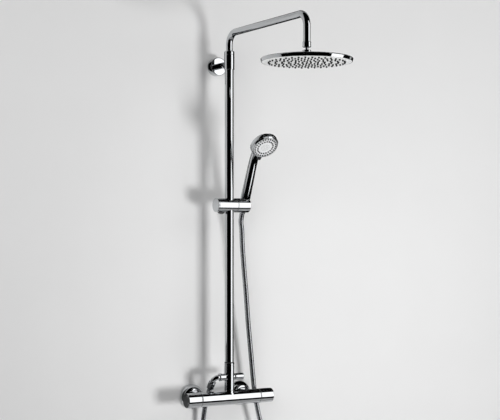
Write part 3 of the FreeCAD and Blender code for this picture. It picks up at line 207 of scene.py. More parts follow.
# Black patch left of the wall cap, seen only by the polish: a painted dark reflection that darkens the cap.
CAP_PAINTED_SHADE_REFLECTION = (-0.057, -0.024, 0.86, 0.953)
TENT_SIDE = 2.7
TENT_FRONT = -3.9
TENT_TOP = 2.45
ROOM_PALE = "#dedede"
ROOM_AMBIENT = 0.05


def add_lamp(name, width, height, watts, place, aim):
    """A rectangular soft lamp that points at a place."""
    data = bpy.data.lights.new(name, "AREA")
    data.shape = "RECTANGLE"
    data.size = width
    data.size_y = height
    data.energy = watts
    lamp = bpy.data.objects.new(name, data)
    lamp.location = place
    lamp.rotation_euler = (Vector(aim) - Vector(place)).to_track_quat("-Z", "Y").to_euler()
    lamp.visible_camera = False
    bpy.context.scene.collection.objects.link(lamp)
    return lamp


for name, size, watts, place, aim in (
        ("low_key", KEY_SIZE, KEY_WATTS, KEY_PLACE, KEY_AIM),
        ("left_fill", FILL_SIZE, LEFT_WATTS, LEFT_PLACE, LEFT_AIM),
        ("right_fill", FILL_SIZE, RIGHT_WATTS, RIGHT_PLACE, RIGHT_AIM),
        ("floor_bounce", BOUNCE_SIZE, BOUNCE_WATTS, BOUNCE_PLACE, BOUNCE_AIM)):
    lamp = add_lamp(name, size, size, watts, place, aim)
    lamp.visible_glossy = False
bpy.data.lights["floor_bounce"].spread = BOUNCE_SPREAD

box_width = SOFTBOX_RIGHT - SOFTBOX_LEFT
box_height = SOFTBOX_HIGH - SOFTBOX_LOW
box_place = Vector(((SOFTBOX_LEFT + SOFTBOX_RIGHT) / 2, SOFTBOX_Y, (SOFTBOX_LOW + SOFTBOX_HIGH) / 2))
box_watts = SOFTBOX_LEVEL * math.pi * box_width * box_height
softbox = add_lamp("softbox", box_width, box_height, box_watts, box_place, box_place + Vector((0, 1, 0)))
softbox.visible_diffuse = False


def reflection_matt(name, tint):
    """A matt colour for the sheets that only the polish sees: the dark stage, and painted dark reflections at
    the wall.
    """
    material, tree = start_material(name)
    coat = add_node(tree, "ShaderNodeBsdfDiffuse", {"Color": paint(tint)})
    add_node(tree, "ShaderNodeOutputMaterial", {}, [(coat, 0, "Surface")])
    return material


def dark_sheet(name, corners, cloth):
    """A sheet that only the polish sees."""
    sheet = stage_plane(name, corners, cloth)
    sheet.visible_camera = False
    sheet.visible_diffuse = False
    sheet.visible_shadow = False
    sheet.visible_transmission = False


reflection_only_matt = reflection_matt("reflection_only_black_matt", REFLECTION_ONLY_BLACK)
painted_shade_matt = reflection_matt("painted_shade_grey_matt", PAINTED_SHADE_GREY)
# The patches at the wall are painted dark reflections, black beside the riser and the wall cap, grey for the
# bar's shadow.
for name, card, cloth in (
        ("right_painted_dark_reflection", RIGHT_PAINTED_DARK_REFLECTION, reflection_only_matt),
        ("low_painted_shade_reflection", LOW_PAINTED_SHADE_REFLECTION, painted_shade_matt),
        ("cap_painted_shade_reflection", CAP_PAINTED_SHADE_REFLECTION, reflection_only_matt)):
    dark_sheet(name, [(x, -CARD_OFF_WALL, z) for x, z in rectangle(*card)], cloth)
for name, x in (("tent_left", -TENT_SIDE), ("tent_right", TENT_SIDE)):
    side = rectangle(TENT_FRONT, WALL_Y, FLOOR_LEVEL, TENT_TOP)
    dark_sheet(name, [(x, y, z) for y, z in side], reflection_only_matt)
front = rectangle(-TENT_SIDE, TENT_SIDE, FLOOR_LEVEL, TENT_TOP)
dark_sheet("tent_front", [(x, TENT_FRONT, z) for x, z in front], reflection_only_matt)
for name, z in (("tent_roof", TENT_TOP), ("tent_floor", FLOOR_LEVEL - CARD_OFF_WALL)):
    level = rectangle(-TENT_SIDE, TENT_SIDE, TENT_FRONT, WALL_Y)
    dark_sheet(name, [(x, y, z) for x, y in level], reflection_only_matt)

world = bpy.data.worlds.new("studio_room")
world.use_nodes = True
room = world.node_tree
room.nodes.clear()
rays = add_node(room, "ShaderNodeLightPath", {})
larger = {"operation": "MAXIMUM"}
direct = add_node(room, "ShaderNodeMath", larger, [(rays, "Is Camera Ray", 0), (rays, "Is Glossy Ray", 1)])
shown = add_node(room, "ShaderNodeMath", larger, [(direct, 0, 0), (rays, "Is Transmission Ray", 1)])
ambient = add_node(room, "ShaderNodeBackground", {"Strength": ROOM_AMBIENT, "Color": (1, 1, 1, 1)})
pale = add_node(room, "ShaderNodeBackground", {"Strength": 1.0, "Color": paint(ROOM_PALE)})
seen = add_node(room, "ShaderNodeMixShader", {}, [(shown, 0, 0), (ambient, 0, 1), (pale, 0, 2)])
add_node(room, "ShaderNodeOutputWorld", {}, [(seen, 0, "Surface")])
bpy.context.scene.world = world


# Wall connections
# Each inlet is a brass union screwed into the wall, hidden by a spun brass cover in bright chrome.
# A hexagon nut draws the valve's tail against a filter washer in the union.
CHROME_TINT = "#c6c8ca"
CHROME_ROUGH = (0.02, 0.05)
CHROME_SMEAR_MM = 14.0
CHROME_SMEAR_RANGE = (0.35, 0.7)
CHROME_RIPPLE_MM = 5.0
CHROME_RIPPLE_DEPTH_MM = 0.3
CHROME_RIPPLE_STRENGTH = 0.03
TURNED_SIDES = 72
CORNER = math.radians(30)
SHARP = math.radians(50)
FLAT = math.radians(1)
WELD_MM = 0.001
COPY_WELD_MM = 0.002
INLET_X = 75.0
ROSETTE_R = 34.0
ROSETTE_DEPTH = 24.0
ROSETTE_NOSE_R = 23.0
ROSETTE_LIP = 3.0
ROSETTE_BULGE_AT = 0.62
ROSETTE_BULGE_IN = 0.32
ROSETTE_STEPS = 14
ROSETTE_WALL = 1.2
ROSETTE_SKIN = 1.0
ROSETTE_FOOT = 0.4
ROSETTE_MOUTH = ((0, 1.0), (0.5, 0), (ROSETTE_WALL, 0))
UNION_R = 13.2
UNION_ROOM = 0.3
NUT_CORNER = 0.5


def make_chrome(name, tint, low, high):
    """Bright plate on polished brass: a near mirror, with faint smears and the ripple of hand polishing."""
    material, tree = start_material(name)
    place = add_node(tree, "ShaderNodeTexCoord", {})
    patches = {"Scale": 1 / (CHROME_SMEAR_MM * MM), "Detail": 3.0}
    smear = add_node(tree, "ShaderNodeTexNoise", patches, [(place, "Object", "Vector")])
    dull, bright = CHROME_SMEAR_RANGE
    limits = {"From Min": dull, "From Max": bright, "To Min": low, "To Max": high}
    gloss = add_node(tree, "ShaderNodeMapRange", limits, [(smear, "Fac", "Value")])
    waves = {"Scale": 1 / (CHROME_RIPPLE_MM * MM), "Detail": 1.0}
    ripple = add_node(tree, "ShaderNodeTexNoise", waves, [(place, "Object", "Vector")])
    depth = {"Strength": CHROME_RIPPLE_STRENGTH, "Distance": CHROME_RIPPLE_DEPTH_MM * MM}
    bump = add_node(tree, "ShaderNodeBump", depth, [(ripple, "Fac", "Height")])
    surface = add_node(
        tree, "ShaderNodeBsdfPrincipled", {"Base Color": paint(tint), "Metallic": 1.0},
        [(gloss, "Result", "Roughness"), (bump, "Normal", "Normal")])
    add_node(tree, "ShaderNodeOutputMaterial", {}, [(surface, 0, "Surface")])
    return material


chrome = make_chrome("bright_chrome_plate", CHROME_TINT, *CHROME_ROUGH)


def arc_points(start, middle, end, count):
    """Points on the circle through three (distance, radius) pairs, from the first to the last."""
    ax, ay = start
    bx, by = middle
    cx, cy = end
    d = 2 * (ax * (by - cy) + bx * (cy - ay) + cx * (ay - by))
    aa, bb, cc = ax * ax + ay * ay, bx * bx + by * by, cx * cx + cy * cy
    ux = (aa * (by - cy) + bb * (cy - ay) + cc * (ay - by)) / d
    uy = (aa * (cx - bx) + bb * (ax - cx) + cc * (bx - ax)) / d
    radius = math.hypot(ax - ux, ay - uy)
    first = math.atan2(ay - uy, ax - ux)
    sweep = math.remainder(math.atan2(cy - uy, cx - ux) - first, 2 * math.pi)
    angles = [first + sweep * k / count for k in range(count + 1)]
    return [(ux + radius * math.cos(angle), uy + radius * math.sin(angle)) for angle in angles]


def lathe(bm, outline, origin, axis, sides=TURNED_SIDES):
    """Turns an outline of (distance along the axis, radius) pairs, in millimetres, into a round shape."""
    axis = Vector(axis).normalized()
    across = axis.orthogonal().normalized()
    verts = [bm.verts.new(Vector(origin) + axis * along + across * radius) for along, radius in outline]
    edges = [bm.edges.new(pair) for pair in zip(verts, verts[1:])]
    bmesh.ops.spin(
        bm, geom=verts + edges, cent=Vector(origin), axis=axis, angle=2 * math.pi, steps=sides,
        use_merge=True)


def finish_piece(bm, name, body, nodes, material, edge=0.0):
    """Closes, softens and shades a shape made in millimetres, and puts it on its body for its nodes."""
    bmesh.ops.remove_doubles(bm, verts=bm.verts, dist=WELD_MM)
    bmesh.ops.recalc_face_normals(bm, faces=bm.faces)
    if edge:
        corners = [e for e in bm.edges if len(e.link_faces) == 2 and e.calc_face_angle() > CORNER]
        bmesh.ops.bevel(
            bm, geom=corners, offset=edge, segments=3, profile=0.5, affect="EDGES", material=-1,
            clamp_overlap=True)
    bmesh.ops.scale(bm, vec=(MM, MM, MM), verts=bm.verts)
    for face in bm.faces:
        face.smooth = True
    for e in bm.edges:
        e.smooth = not (len(e.link_faces) == 2 and e.calc_face_angle() > SHARP)
    mesh = bpy.data.meshes.new(name)
    bm.to_mesh(mesh)
    bm.free()
    mesh.materials.append(material)
    piece = bpy.data.objects.new(name, mesh)
    bpy.context.scene.collection.objects.link(piece)
    weighted = piece.modifiers.new("flat_faces", "WEIGHTED_NORMAL")
    weighted.keep_sharp = True
    if body:
        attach(piece, body)
    if nodes:
        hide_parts(*nodes)
    return piece


def polished_copy(node, body, material, edge=0.0):
    """A node's own shape with its loose triangles joined, its flats cleaned and its corners broken."""
    bm = bmesh.new()
    bm.from_mesh(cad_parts[node].data)
    bmesh.ops.scale(bm, vec=(1 / MM, 1 / MM, 1 / MM), verts=bm.verts)
    bmesh.ops.remove_doubles(bm, verts=bm.verts, dist=COPY_WELD_MM)
    bmesh.ops.dissolve_limit(bm, angle_limit=FLAT, verts=bm.verts, edges=bm.edges)
    return finish_piece(bm, node + "_polished", body, [node], material, edge)


for side, name in ((-1, "left"), (1, "right")):
    bm = bmesh.new()
    bulge_r = ROSETTE_R - (ROSETTE_R - ROSETTE_NOSE_R) * ROSETTE_BULGE_IN
    dome = arc_points(
        (ROSETTE_LIP, ROSETTE_R), (ROSETTE_DEPTH * ROSETTE_BULGE_AT, bulge_r),
        (ROSETTE_DEPTH, ROSETTE_NOSE_R), ROSETTE_STEPS)
    hole = UNION_R + UNION_ROOM
    outline = [(0, ROSETTE_R - ROSETTE_WALL), (0, ROSETTE_R - ROSETTE_FOOT), (ROSETTE_FOOT, ROSETTE_R)] + dome
    outline += [(ROSETTE_DEPTH - along, hole + more) for along, more in ROSETTE_MOUTH]
    outline += [(along - ROSETTE_SKIN, radius - ROSETTE_WALL) for along, radius in reversed(dome)]
    outline += [outline[0]]
    lathe(bm, outline, (side * INLET_X, 0, 0), (0, -1, 0))
    finish_piece(bm, name + "_cover", "valve", [name + "_rosette"], chrome)
    polished_copy(name + "_union_nut", "valve", chrome, NUT_CORNER)


# Bar valve
# A round brass bar with a chrome skin, with a tail to each inlet behind it and a raised seat for the diverter
# on top. The two handles carry on its line, parted from it by a fine gap.
BAR_Y = -78.5
BAR_R = 19.5
FLAT_END = ((0, 0),)
BAR_EDGE = ((0, 0.9), (0.3, 0.3), (0.9, 0))
BAR_SIDES = 96
BODY_HALF = 90.0
TAIL_R = 10.5
TAIL_START = BAR_Y + 14.0
TAIL_FLARE = ((0, -2.4), (3.5, -1.4), (6.5, 0))
TAIL_END = -40.0
TAIL_LIP = 2.5
TAIL_LIP_R = UNION_R - 0.1
SEAT_R = 13.5
SEAT_ROOT = 8.0
SEAT_TOP = 22.0
SEAT_FLARE_R = SEAT_R + 3.2
SEAT_FILLET = ((13.0, SEAT_FLARE_R), (17.2, SEAT_R + 0.9), (SEAT_TOP - 0.4, SEAT_R))
SEAT_FILLET_STEPS = 6
SEAT_TOP_R = SEAT_R - 0.4
bar_middle = (0, BAR_Y, 0)


def barrel(low, high, radius, low_edge, high_edge):
    """The outline of a round bar. Each edge is (distance in, radius less) steps, from the end face on."""
    lower = [(low + along, radius - less) for along, less in low_edge]
    upper = [(high - along, radius - less) for along, less in reversed(high_edge)]
    return lower + upper


def closed(outline, bore=0.0):
    """Closes an outline at both ends, down to the axis or to a bore."""
    first, last = (outline[0][0], bore), (outline[-1][0], bore)
    return [first] + outline + ([last, first] if bore else [last])


bm = bmesh.new()
lathe(bm, closed(barrel(-BODY_HALF, BODY_HALF, BAR_R, BAR_EDGE, BAR_EDGE)), bar_middle, (1, 0, 0), BAR_SIDES)
for side in (-1, 1):
    tail = barrel(TAIL_START, TAIL_END - TAIL_LIP, TAIL_R, TAIL_FLARE, FLAT_END)
    tail += [(TAIL_END - TAIL_LIP, TAIL_LIP_R), (TAIL_END, TAIL_LIP_R)]
    lathe(bm, closed(tail), (side * INLET_X, 0, 0), (0, 1, 0))
seat = [(SEAT_ROOT, SEAT_FLARE_R)] + arc_points(*SEAT_FILLET, SEAT_FILLET_STEPS) + [(SEAT_TOP, SEAT_TOP_R)]
lathe(bm, closed(seat), bar_middle, (0, 0, 1))
finish_piece(bm, "valve_bar", "valve", ["valve_body"], chrome)


# Valve handles
# Turned brass cups pressed on their spindles, with a polished rim and a shallow ring cut near the joint.
# A thin chromed cap closes each end over the screw.
HANDLE_START = 90.6
HANDLE_END = 132.0
HANDLE_FOOT = ((0, 0.8), (0.3, 0.25), (0.8, 0), (2.2, 0), (2.5, 0.3), (2.9, 0.3), (3.2, 0))
HANDLE_RIM = ((0, 1.7), (0.15, 1.0), (0.7, 0.3), (1.6, 0))
HANDLE_BORE_R = 16.5
HANDLE_FLOOR = 6.0
SCREW_HOLE_R = 4.0
CAP_SEAT_R = 14.5
CAP_SEAT_EDGE = ((0, 0.2), (0.3, 0))
CAP_SEAT_DEPTH = 2.2
CAP_R = 14.3
CAP_PROUD = 0.7
CAP_DISH = ((0.35, 4.1), (0, 3.7), (0, 2.3), (0.1, 1.1), (0.4, 0.3), (1.0, 0))

for side, name in ((-1, "flow"), (1, "temperature")):
    cap_seat = HANDLE_END - CAP_SEAT_DEPTH
    cup_floor = HANDLE_END - HANDLE_FLOOR
    cup = [(HANDLE_START, HANDLE_BORE_R)] + barrel(HANDLE_START, HANDLE_END, BAR_R, HANDLE_FOOT, HANDLE_RIM)
    cup += [(HANDLE_END - along, CAP_SEAT_R + more) for along, more in CAP_SEAT_EDGE]
    cup += [(cap_seat, CAP_SEAT_R), (cap_seat, SCREW_HOLE_R), (cup_floor, SCREW_HOLE_R)]
    cup += [(cup_floor, HANDLE_BORE_R), (HANDLE_START, HANDLE_BORE_R)]
    bm = bmesh.new()
    lathe(bm, cup, bar_middle, (side, 0, 0), BAR_SIDES)
    finish_piece(bm, name + "_handle_cup", name + "_handle", [name + "_handle"], chrome)
    cap = barrel(cap_seat, HANDLE_END + CAP_PROUD, CAP_R, FLAT_END, CAP_DISH)
    bm = bmesh.new()
    lathe(bm, closed(cap), bar_middle, (side, 0, 0))
    finish_piece(
        bm, name + "_handle_end", name + "_handle", [name + "_handle_cap"], chrome)


# Diverter
# A turned brass sleeve between the bar and the riser, with a small round knob on its right that sends the
# water up to the rain head or out to the hose on the left.
DIVERTER_R = 13.5
DIVERTER_TOP = 95.0
DIVERTER_FOOT = ((0, 0.6), (0.6, 0))
DIVERTER_RIM = ((0, 1.1), (0.3, 0.4), (1.0, 0), (6.6, 0), (7.0, 0.35), (7.4, 0))
CROSS_Z = 57.0
CROSS_SIDES = 48
STUB_ROOT = 6.0
STUB_R = 8.5
STUB_END = 15.0
STUB_FLARE = ((0, -1.6), (6.5, -1.0), (7.6, 0))
STUB_EDGE = ((0, 0.4), (0.4, 0))
HOSE_STUB_R = 9.4
HOSE_STUB_END = 25.0
HOSE_STUB_FLARE = ((0, -1.4), (6.6, -0.9), (8.4, 0))
KNOB_R = 8.6
KNOB_START = 15.6
KNOB_END = 43.0
KNOB_FOOT = ((0, 0.7), (0.6, 0), (3.0, 0), (3.4, 0.4), (3.9, 0.4), (4.3, 0))
KNOB_FACE = ((0.3, KNOB_R), (0.25, 5.6), (0, 2.2), (0.1, 1.2), (0.6, 0.4), (1.6, 0))
KNOB_BORE_R = 3.1
KNOB_FLOOR = KNOB_END - 8.0
cross = (0, BAR_Y, CROSS_Z)

bm = bmesh.new()
tower = barrel(SEAT_TOP, DIVERTER_TOP, DIVERTER_R, DIVERTER_FOOT, DIVERTER_RIM)
lathe(bm, closed(tower), bar_middle, (0, 0, 1))
lathe(bm, closed(barrel(STUB_ROOT, STUB_END, STUB_R, STUB_FLARE, STUB_EDGE)), cross, (1, 0, 0), CROSS_SIDES)
hose_stub = barrel(STUB_ROOT, HOSE_STUB_END, HOSE_STUB_R, HOSE_STUB_FLARE, FLAT_END)
lathe(bm, closed(hose_stub), cross, (-1, 0, 0), CROSS_SIDES)
finish_piece(bm, "diverter_sleeve", "valve", ["diverter_body"], chrome)

bm = bmesh.new()
knob = [(KNOB_START, KNOB_BORE_R)] + barrel(KNOB_START, KNOB_END, KNOB_R, KNOB_FOOT, KNOB_FACE)
knob += [(KNOB_FLOOR, 0), (KNOB_FLOOR, KNOB_BORE_R), (KNOB_START, KNOB_BORE_R)]
lathe(bm, knob, cross, (1, 0, 0), CROSS_SIDES)
finish_piece(bm, "diverter_grip", "diverter_knob", ["diverter_knob"], chrome)


# Hose elbow
# A bent brass tail screwed into the diverter against a round collar. It turns down and back towards the wall,
# and a hexagon nut holds the hose on its end.
ELBOW_X = -47.0
ELBOW_R = 7.0
ELBOW_BEND = 13.0
ELBOW_STEPS = 14
ELBOW_LEAN = math.radians(36)
ELBOW_LEG = 16.0
THREAD_SIDES = 32
LEG_THREAD_R = 7.4
LEG_THREAD = (ELBOW_LEG - 0.5, ELBOW_LEG + 9.0)
STUB_THREAD_R = 7.9
STUB_THREAD = (HOSE_STUB_END - 11.5, HOSE_STUB_END + 6.2)
RING_R = 10.6
RING_BORE_R = 8.0
RING_WIDTH = 6.0
RING_EDGE = ((0, 0.7), (0.3, 0.2), (0.9, 0))
RING_SIDES = 64
NUT_R = 11.0
NUT_START = ELBOW_LEG + 0.1
NUT_LENGTH = 20.0
NUT_EDGE = ((0, 1.2), (0.8, 0))
NUT_SIDES = 6
RIGHT_ANGLE = math.radians(90)
elbow = Vector((ELBOW_X, BAR_Y, CROSS_Z))
elbow_down = Vector((0, math.sin(ELBOW_LEAN), -math.cos(ELBOW_LEAN)))


def ring_of(bm, radius, centre, direction, sides):
    """A circle of edges across a direction, to be drawn out into a tube."""
    turn = Vector(direction).to_track_quat("Z", "Y").to_matrix().to_4x4()
    at = Matrix.Translation(centre) @ turn
    made = bmesh.ops.create_circle(bm, segments=sides, radius=radius, matrix=at)
    return list({e for v in made["verts"] for e in v.link_edges})


def draw_out(bm, edges, move):
    """Extrudes a ring of edges along a straight move."""
    made = bmesh.ops.extrude_edge_only(bm, edges=edges)["geom"]
    bmesh.ops.translate(bm, vec=move, verts=[g for g in made if isinstance(g, bmesh.types.BMVert)])
    return [g for g in made if isinstance(g, bmesh.types.BMEdge)]


def bend(bm, edges, centre, axis, steps):
    """Spins a ring of edges a quarter turn round the middle of a bend."""
    made = bmesh.ops.spin(bm, geom=edges, cent=centre, axis=axis, angle=RIGHT_ANGLE, steps=steps)["geom_last"]
    return [g for g in made if isinstance(g, bmesh.types.BMEdge)]


bm = bmesh.new()
start = Vector((-HOSE_STUB_END - RING_WIDTH, BAR_Y, CROSS_Z))
ring = ring_of(bm, ELBOW_R, start, (-1, 0, 0), CROSS_SIDES)
bmesh.ops.edgeloop_fill(bm, edges=ring)
ring = draw_out(bm, ring, Vector((elbow.x + ELBOW_BEND - start.x, 0, 0)))
bend_middle = elbow + Vector((ELBOW_BEND, 0, 0)) + elbow_down * ELBOW_BEND
ring = bend(bm, ring, bend_middle, Vector((-1, 0, 0)).cross(elbow_down), ELBOW_STEPS)
ring = draw_out(bm, ring, elbow_down * (ELBOW_LEG - ELBOW_BEND))
bmesh.ops.edgeloop_fill(bm, edges=ring)
lathe(bm, closed(barrel(*LEG_THREAD, LEG_THREAD_R, FLAT_END, FLAT_END)), elbow, elbow_down, THREAD_SIDES)
lathe(bm, closed(barrel(*STUB_THREAD, STUB_THREAD_R, FLAT_END, FLAT_END)), cross, (-1, 0, 0), THREAD_SIDES)
finish_piece(bm, "elbow_tail", "valve", ["hose_elbow"], chrome)

bm = bmesh.new()
collar = barrel(HOSE_STUB_END, HOSE_STUB_END + RING_WIDTH, RING_R, RING_EDGE, RING_EDGE)
lathe(bm, closed(collar, RING_BORE_R), cross, (-1, 0, 0), RING_SIDES)
finish_piece(bm, "elbow_ring", "valve", ["elbow_collar"], chrome)

bm = bmesh.new()
nut = barrel(NUT_START, NUT_START + NUT_LENGTH, NUT_R, NUT_EDGE, NUT_EDGE)
lathe(bm, closed(nut), elbow, elbow_down, NUT_SIDES)
finish_piece(bm, "hose_end_nut", "valve", ["hose_nut"], chrome)


# Riser and upper bracket
# A drawn brass tube pushed into the diverter below and held near its top by a sleeve on a wall stem.
# The stem flares where it is brazed to the sleeve, and a deep round cap hides its bolt at the wall.
RISER_R = 12.0
RISER_BORE_R = 10.8
RISER_LOW = 75.0
RISER_TOP = 925.0
SLEEVE_R = 14.0
SLEEVE_BORE_R = 12.1
SLEEVE_LOW = 891.0
SLEEVE_TOP = 931.0
SLEEVE_FOOT = ((0, 0.8), (0.3, 0.2), (0.9, 0))
SLEEVE_RIM = ((0, 0.5), (0.6, 0))
GLAND_LOW = SLEEVE_TOP + 0.1
GLAND_TOP = 942.0
GLAND_BORE_R = 9.1
GLAND_SPIGOT_LOW = RISER_TOP + 0.1
GLAND_SPIGOT_R = 11.9
GLAND_RIM = ((0, 2.8), (0.3, 1.8), (1.2, 0.7), (3.0, 0))
BRACKET_Z = 906.5
STEM_R = 8.6
STEM_END = -0.4
STEM_FLARE = ((BAR_Y + 13.0, 11.4), (BAR_Y + 18.0, STEM_R + 0.9), (BAR_Y + 26.0, STEM_R))
STEM_FLARE_STEPS = 8
WALL_CAP_R = 25.0
WALL_CAP_DEPTH = 22.0
WALL_CAP_WALL = 2.0
WALL_CAP_HOLE_R = STEM_R + 0.1
WALL_CAP_FOOT = ((0, 0.5), (0.5, 0))
WALL_CAP_RIM = ((0, 2.8), (0.15, 1.6), (0.8, 0.5), (2.2, 0))
bracket_foot = (0, 0, BRACKET_Z)

bm = bmesh.new()
riser = barrel(RISER_LOW, RISER_TOP, RISER_R, FLAT_END, FLAT_END)
lathe(bm, closed(riser, RISER_BORE_R), bar_middle, (0, 0, 1), BAR_SIDES)
finish_piece(bm, "riser_pipe", "valve", ["riser_tube"], chrome)

bm = bmesh.new()
sleeve = barrel(SLEEVE_LOW, SLEEVE_TOP, SLEEVE_R, SLEEVE_FOOT, SLEEVE_RIM)
lathe(bm, closed(sleeve, SLEEVE_BORE_R), bar_middle, (0, 0, 1), BAR_SIDES)
finish_piece(bm, "upper_sleeve", "valve", ["bracket_sleeve"], chrome)

bm = bmesh.new()
gland = barrel(GLAND_SPIGOT_LOW, GLAND_LOW, GLAND_SPIGOT_R, FLAT_END, FLAT_END)
gland += barrel(GLAND_LOW, GLAND_TOP, SLEEVE_R, SLEEVE_RIM, GLAND_RIM)
lathe(bm, closed(gland, GLAND_BORE_R), bar_middle, (0, 0, 1), BAR_SIDES)
finish_piece(bm, "arm_socket_ring", "valve", ["arm_gland"], chrome)

bm = bmesh.new()
stem = arc_points(*STEM_FLARE, STEM_FLARE_STEPS) + [(STEM_END, STEM_R)]
lathe(bm, closed(stem), bracket_foot, (0, 1, 0))
finish_piece(bm, "wall_stem", "valve", ["bracket_stem"], chrome)

bm = bmesh.new()
cap_inner = WALL_CAP_R - WALL_CAP_WALL
cap_back = WALL_CAP_DEPTH - WALL_CAP_WALL
wall_cap = [(0, cap_inner)] + barrel(0, WALL_CAP_DEPTH, WALL_CAP_R, WALL_CAP_FOOT, WALL_CAP_RIM)
wall_cap += [(WALL_CAP_DEPTH, WALL_CAP_HOLE_R), (cap_back, WALL_CAP_HOLE_R)]
wall_cap += [(cap_back, cap_inner), (0, cap_inner)]
lathe(bm, wall_cap, bracket_foot, (0, -1, 0), BAR_SIDES)
finish_piece(bm, "wall_plate", "valve", ["bracket_rosette"], chrome)


# Rain arm
# One length of brass tube with two mandrel bends, polished and plated after bending. Its lower end turns in
# the ring on top of the riser, and its other end drops to the ball joint.
ARM_R = 9.0
ARM_LOW = 900.0
ARM_TOP = 989.0
ARM_BEND = 32.0
ARM_BEND_STEPS = 24
ARM_SIDES = 64
ARM_COLLAR = (RISER_TOP - 3.5, RISER_TOP - 0.1)
ARM_COLLAR_R = 10.4
DROP_Y = -465.5
DROP_END = 917.0

bm = bmesh.new()
bend_z = ARM_TOP - ARM_BEND
first = ring_of(bm, ARM_R, (0, BAR_Y, ARM_LOW), (0, 0, 1), ARM_SIDES)
ring = draw_out(bm, first, Vector((0, 0, bend_z - ARM_LOW)))
ring = bend(bm, ring, (0, BAR_Y - ARM_BEND, bend_z), (1, 0, 0), ARM_BEND_STEPS)
ring = draw_out(bm, ring, Vector((0, DROP_Y - BAR_Y + 2 * ARM_BEND, 0)))
ring = bend(bm, ring, (0, DROP_Y + ARM_BEND, bend_z), (1, 0, 0), ARM_BEND_STEPS)
last = draw_out(bm, ring, Vector((0, 0, DROP_END - bend_z)))
bmesh.ops.edgeloop_fill(bm, edges=first)
bmesh.ops.edgeloop_fill(bm, edges=last)
lathe(bm, closed(barrel(*ARM_COLLAR, ARM_COLLAR_R, FLAT_END, FLAT_END)), bar_middle, (0, 0, 1), CROSS_SIDES)
finish_piece(bm, "rain_arm", "arm", ["shower_arm"], chrome)


# Ball joint
# A turned brass stud soldered in the arm's end, with a collar for a spanner, a thin neck and a ball.
# A plastic seat lets the ball turn, and a screwed ring on the rain head keeps it in.
BALL_Z = 886.0
BALL_R = 8.0
BALL_POLE_R = 0.01
BALL_STEPS = 18
STUD_NECK_R = 4.2
STUD_NECK_FLARE = ((-2.2, STUD_NECK_R), (-0.6, 5.0), (0, 6.4))
COLLAR_LOW = 903.0
COLLAR_R = 10.5
COLLAR_FOOT = ((0, 0.9), (0.8, 0), (5.6, 0), (6.0, 0.4), (6.6, 0.4), (7.0, 0))
COLLAR_RIM = ((0, 1.2), (1.4, 0))
KEEPER_LOW = BALL_Z + 4.6
KEEPER_TOP = BALL_Z + 10.1
KEEPER_R = 10.4
KEEPER_BORE_R = 7.0
KEEPER_RIM = ((0, 2.5), (0, 0.9), (0.2, 0.3), (0.8, 0), (2.1, 0), (2.4, 0.3), (2.9, 0.3), (3.2, 0))
KEEPER_MOUTH = (KEEPER_TOP - 0.3, 7.6)
drop = (0, DROP_Y, 0)

bm = bmesh.new()
neck_foot = BALL_Z + math.sqrt(BALL_R ** 2 - STUD_NECK_R ** 2)
stud = arc_points((BALL_Z - BALL_R, BALL_POLE_R), (BALL_Z, BALL_R), (neck_foot, STUD_NECK_R), BALL_STEPS)
stud += [(COLLAR_LOW + along, radius) for along, radius in STUD_NECK_FLARE]
stud += barrel(COLLAR_LOW, DROP_END, COLLAR_R, COLLAR_FOOT, COLLAR_RIM)
lathe(bm, closed(stud), drop, (0, 0, 1))
finish_piece(bm, "ball_stem", "arm", ["ball_stud"], chrome)

bm = bmesh.new()
keeper = [(KEEPER_LOW, KEEPER_BORE_R)] + barrel(KEEPER_LOW, KEEPER_TOP, KEEPER_R, FLAT_END, KEEPER_RIM)
keeper += [KEEPER_MOUTH, (KEEPER_LOW, KEEPER_BORE_R)]
lathe(bm, keeper, drop, (0, 0, 1))
finish_piece(bm, "ball_ring", "rain_head", ["ball_retainer"], chrome)


# Rain head
# A shallow dish of chromed plastic, with a boss for the ball joint. A satin spray plate closes it from
# below, and soft nozzles of one silicone mat stand through the plate, so that scale can be rubbed off.
HEAD_R = 114.0
HEAD_SIDES = 144
RIM_Z = 873.5
RIM_ROUND = ((-1.6, 0.4), (-0.6, 0.05), (0.4, 0.1), (1.4, 0.8), (2.3, 2.1))
FACE_Z = 866.5
FACE_R = 111.0
FACE_LIP = ((0, 0.2), (0, 0.8), (0.3, 1.2))
BOSS_R = 14.0
DOME_Z = 884.0
DOME_START = (RIM_Z + 3.0, HEAD_R - 4.0)
DOME_MIDDLE = (RIM_Z + 8.2, (HEAD_R + BOSS_R) * 0.55)
DOME_END = (DOME_Z, BOSS_R + 3.0)
DOME_STEPS = 24
DISH_WALL = 1.8
DISH_INNER_LIP = (RIM_Z - 1.0, FACE_R)
BOSS_TOP = 890.5
BOSS_FOOT = ((0.6, -0.9), (1.6, 0))
BOSS_RIM = ((0, 1.2), (0.3, 0.4), (1.0, 0))
BALL_POCKET = (
    (BOSS_TOP, 10.5), (BALL_Z + 1.0, 9.6), (BALL_Z - 6.0, 7.5), (RIM_Z + 2.0, 2.5), (RIM_Z, 2.5),
    (RIM_Z, BOSS_R))
PLATE_EDGE = ((2.0, 0), (0.5, 0), (0, 0.5), (0, 4.0), (0.35, 4.5), (0.35, 5.5), (0, 6.0))
PLATE_DIMPLE = ((0, 6.0), (0.3, 5.4))
PLATE_SATIN = "#f4f5f5"
SATIN_ROUGH = (0.28, 0.4)
SATIN_RANGE = (0.3, 0.7)
SATIN_TONE = 0.93
SILICONE_DARK = "#08080a"
SILICONE_ROUGH = 0.5
SILICONE_BLOOM_MM = 3.0
SILICONE_BLOOM = (1.5, 0.004)
RAIN_RINGS = 6
RAIN_RING_STEP = 16.4
RAIN_RING_FIRST_R = 12.0
RAIN_FIRST = 6
NOZZLE_SIDES = 8
NOZZLE_FOOT = 0.35
NOZZLE_TIP = ((0.2, 0), (0, 0.25), (0, 0.6))
NOZZLE_HOLE = 0.8
RAIN_NOZZLE_RISE = 3.6
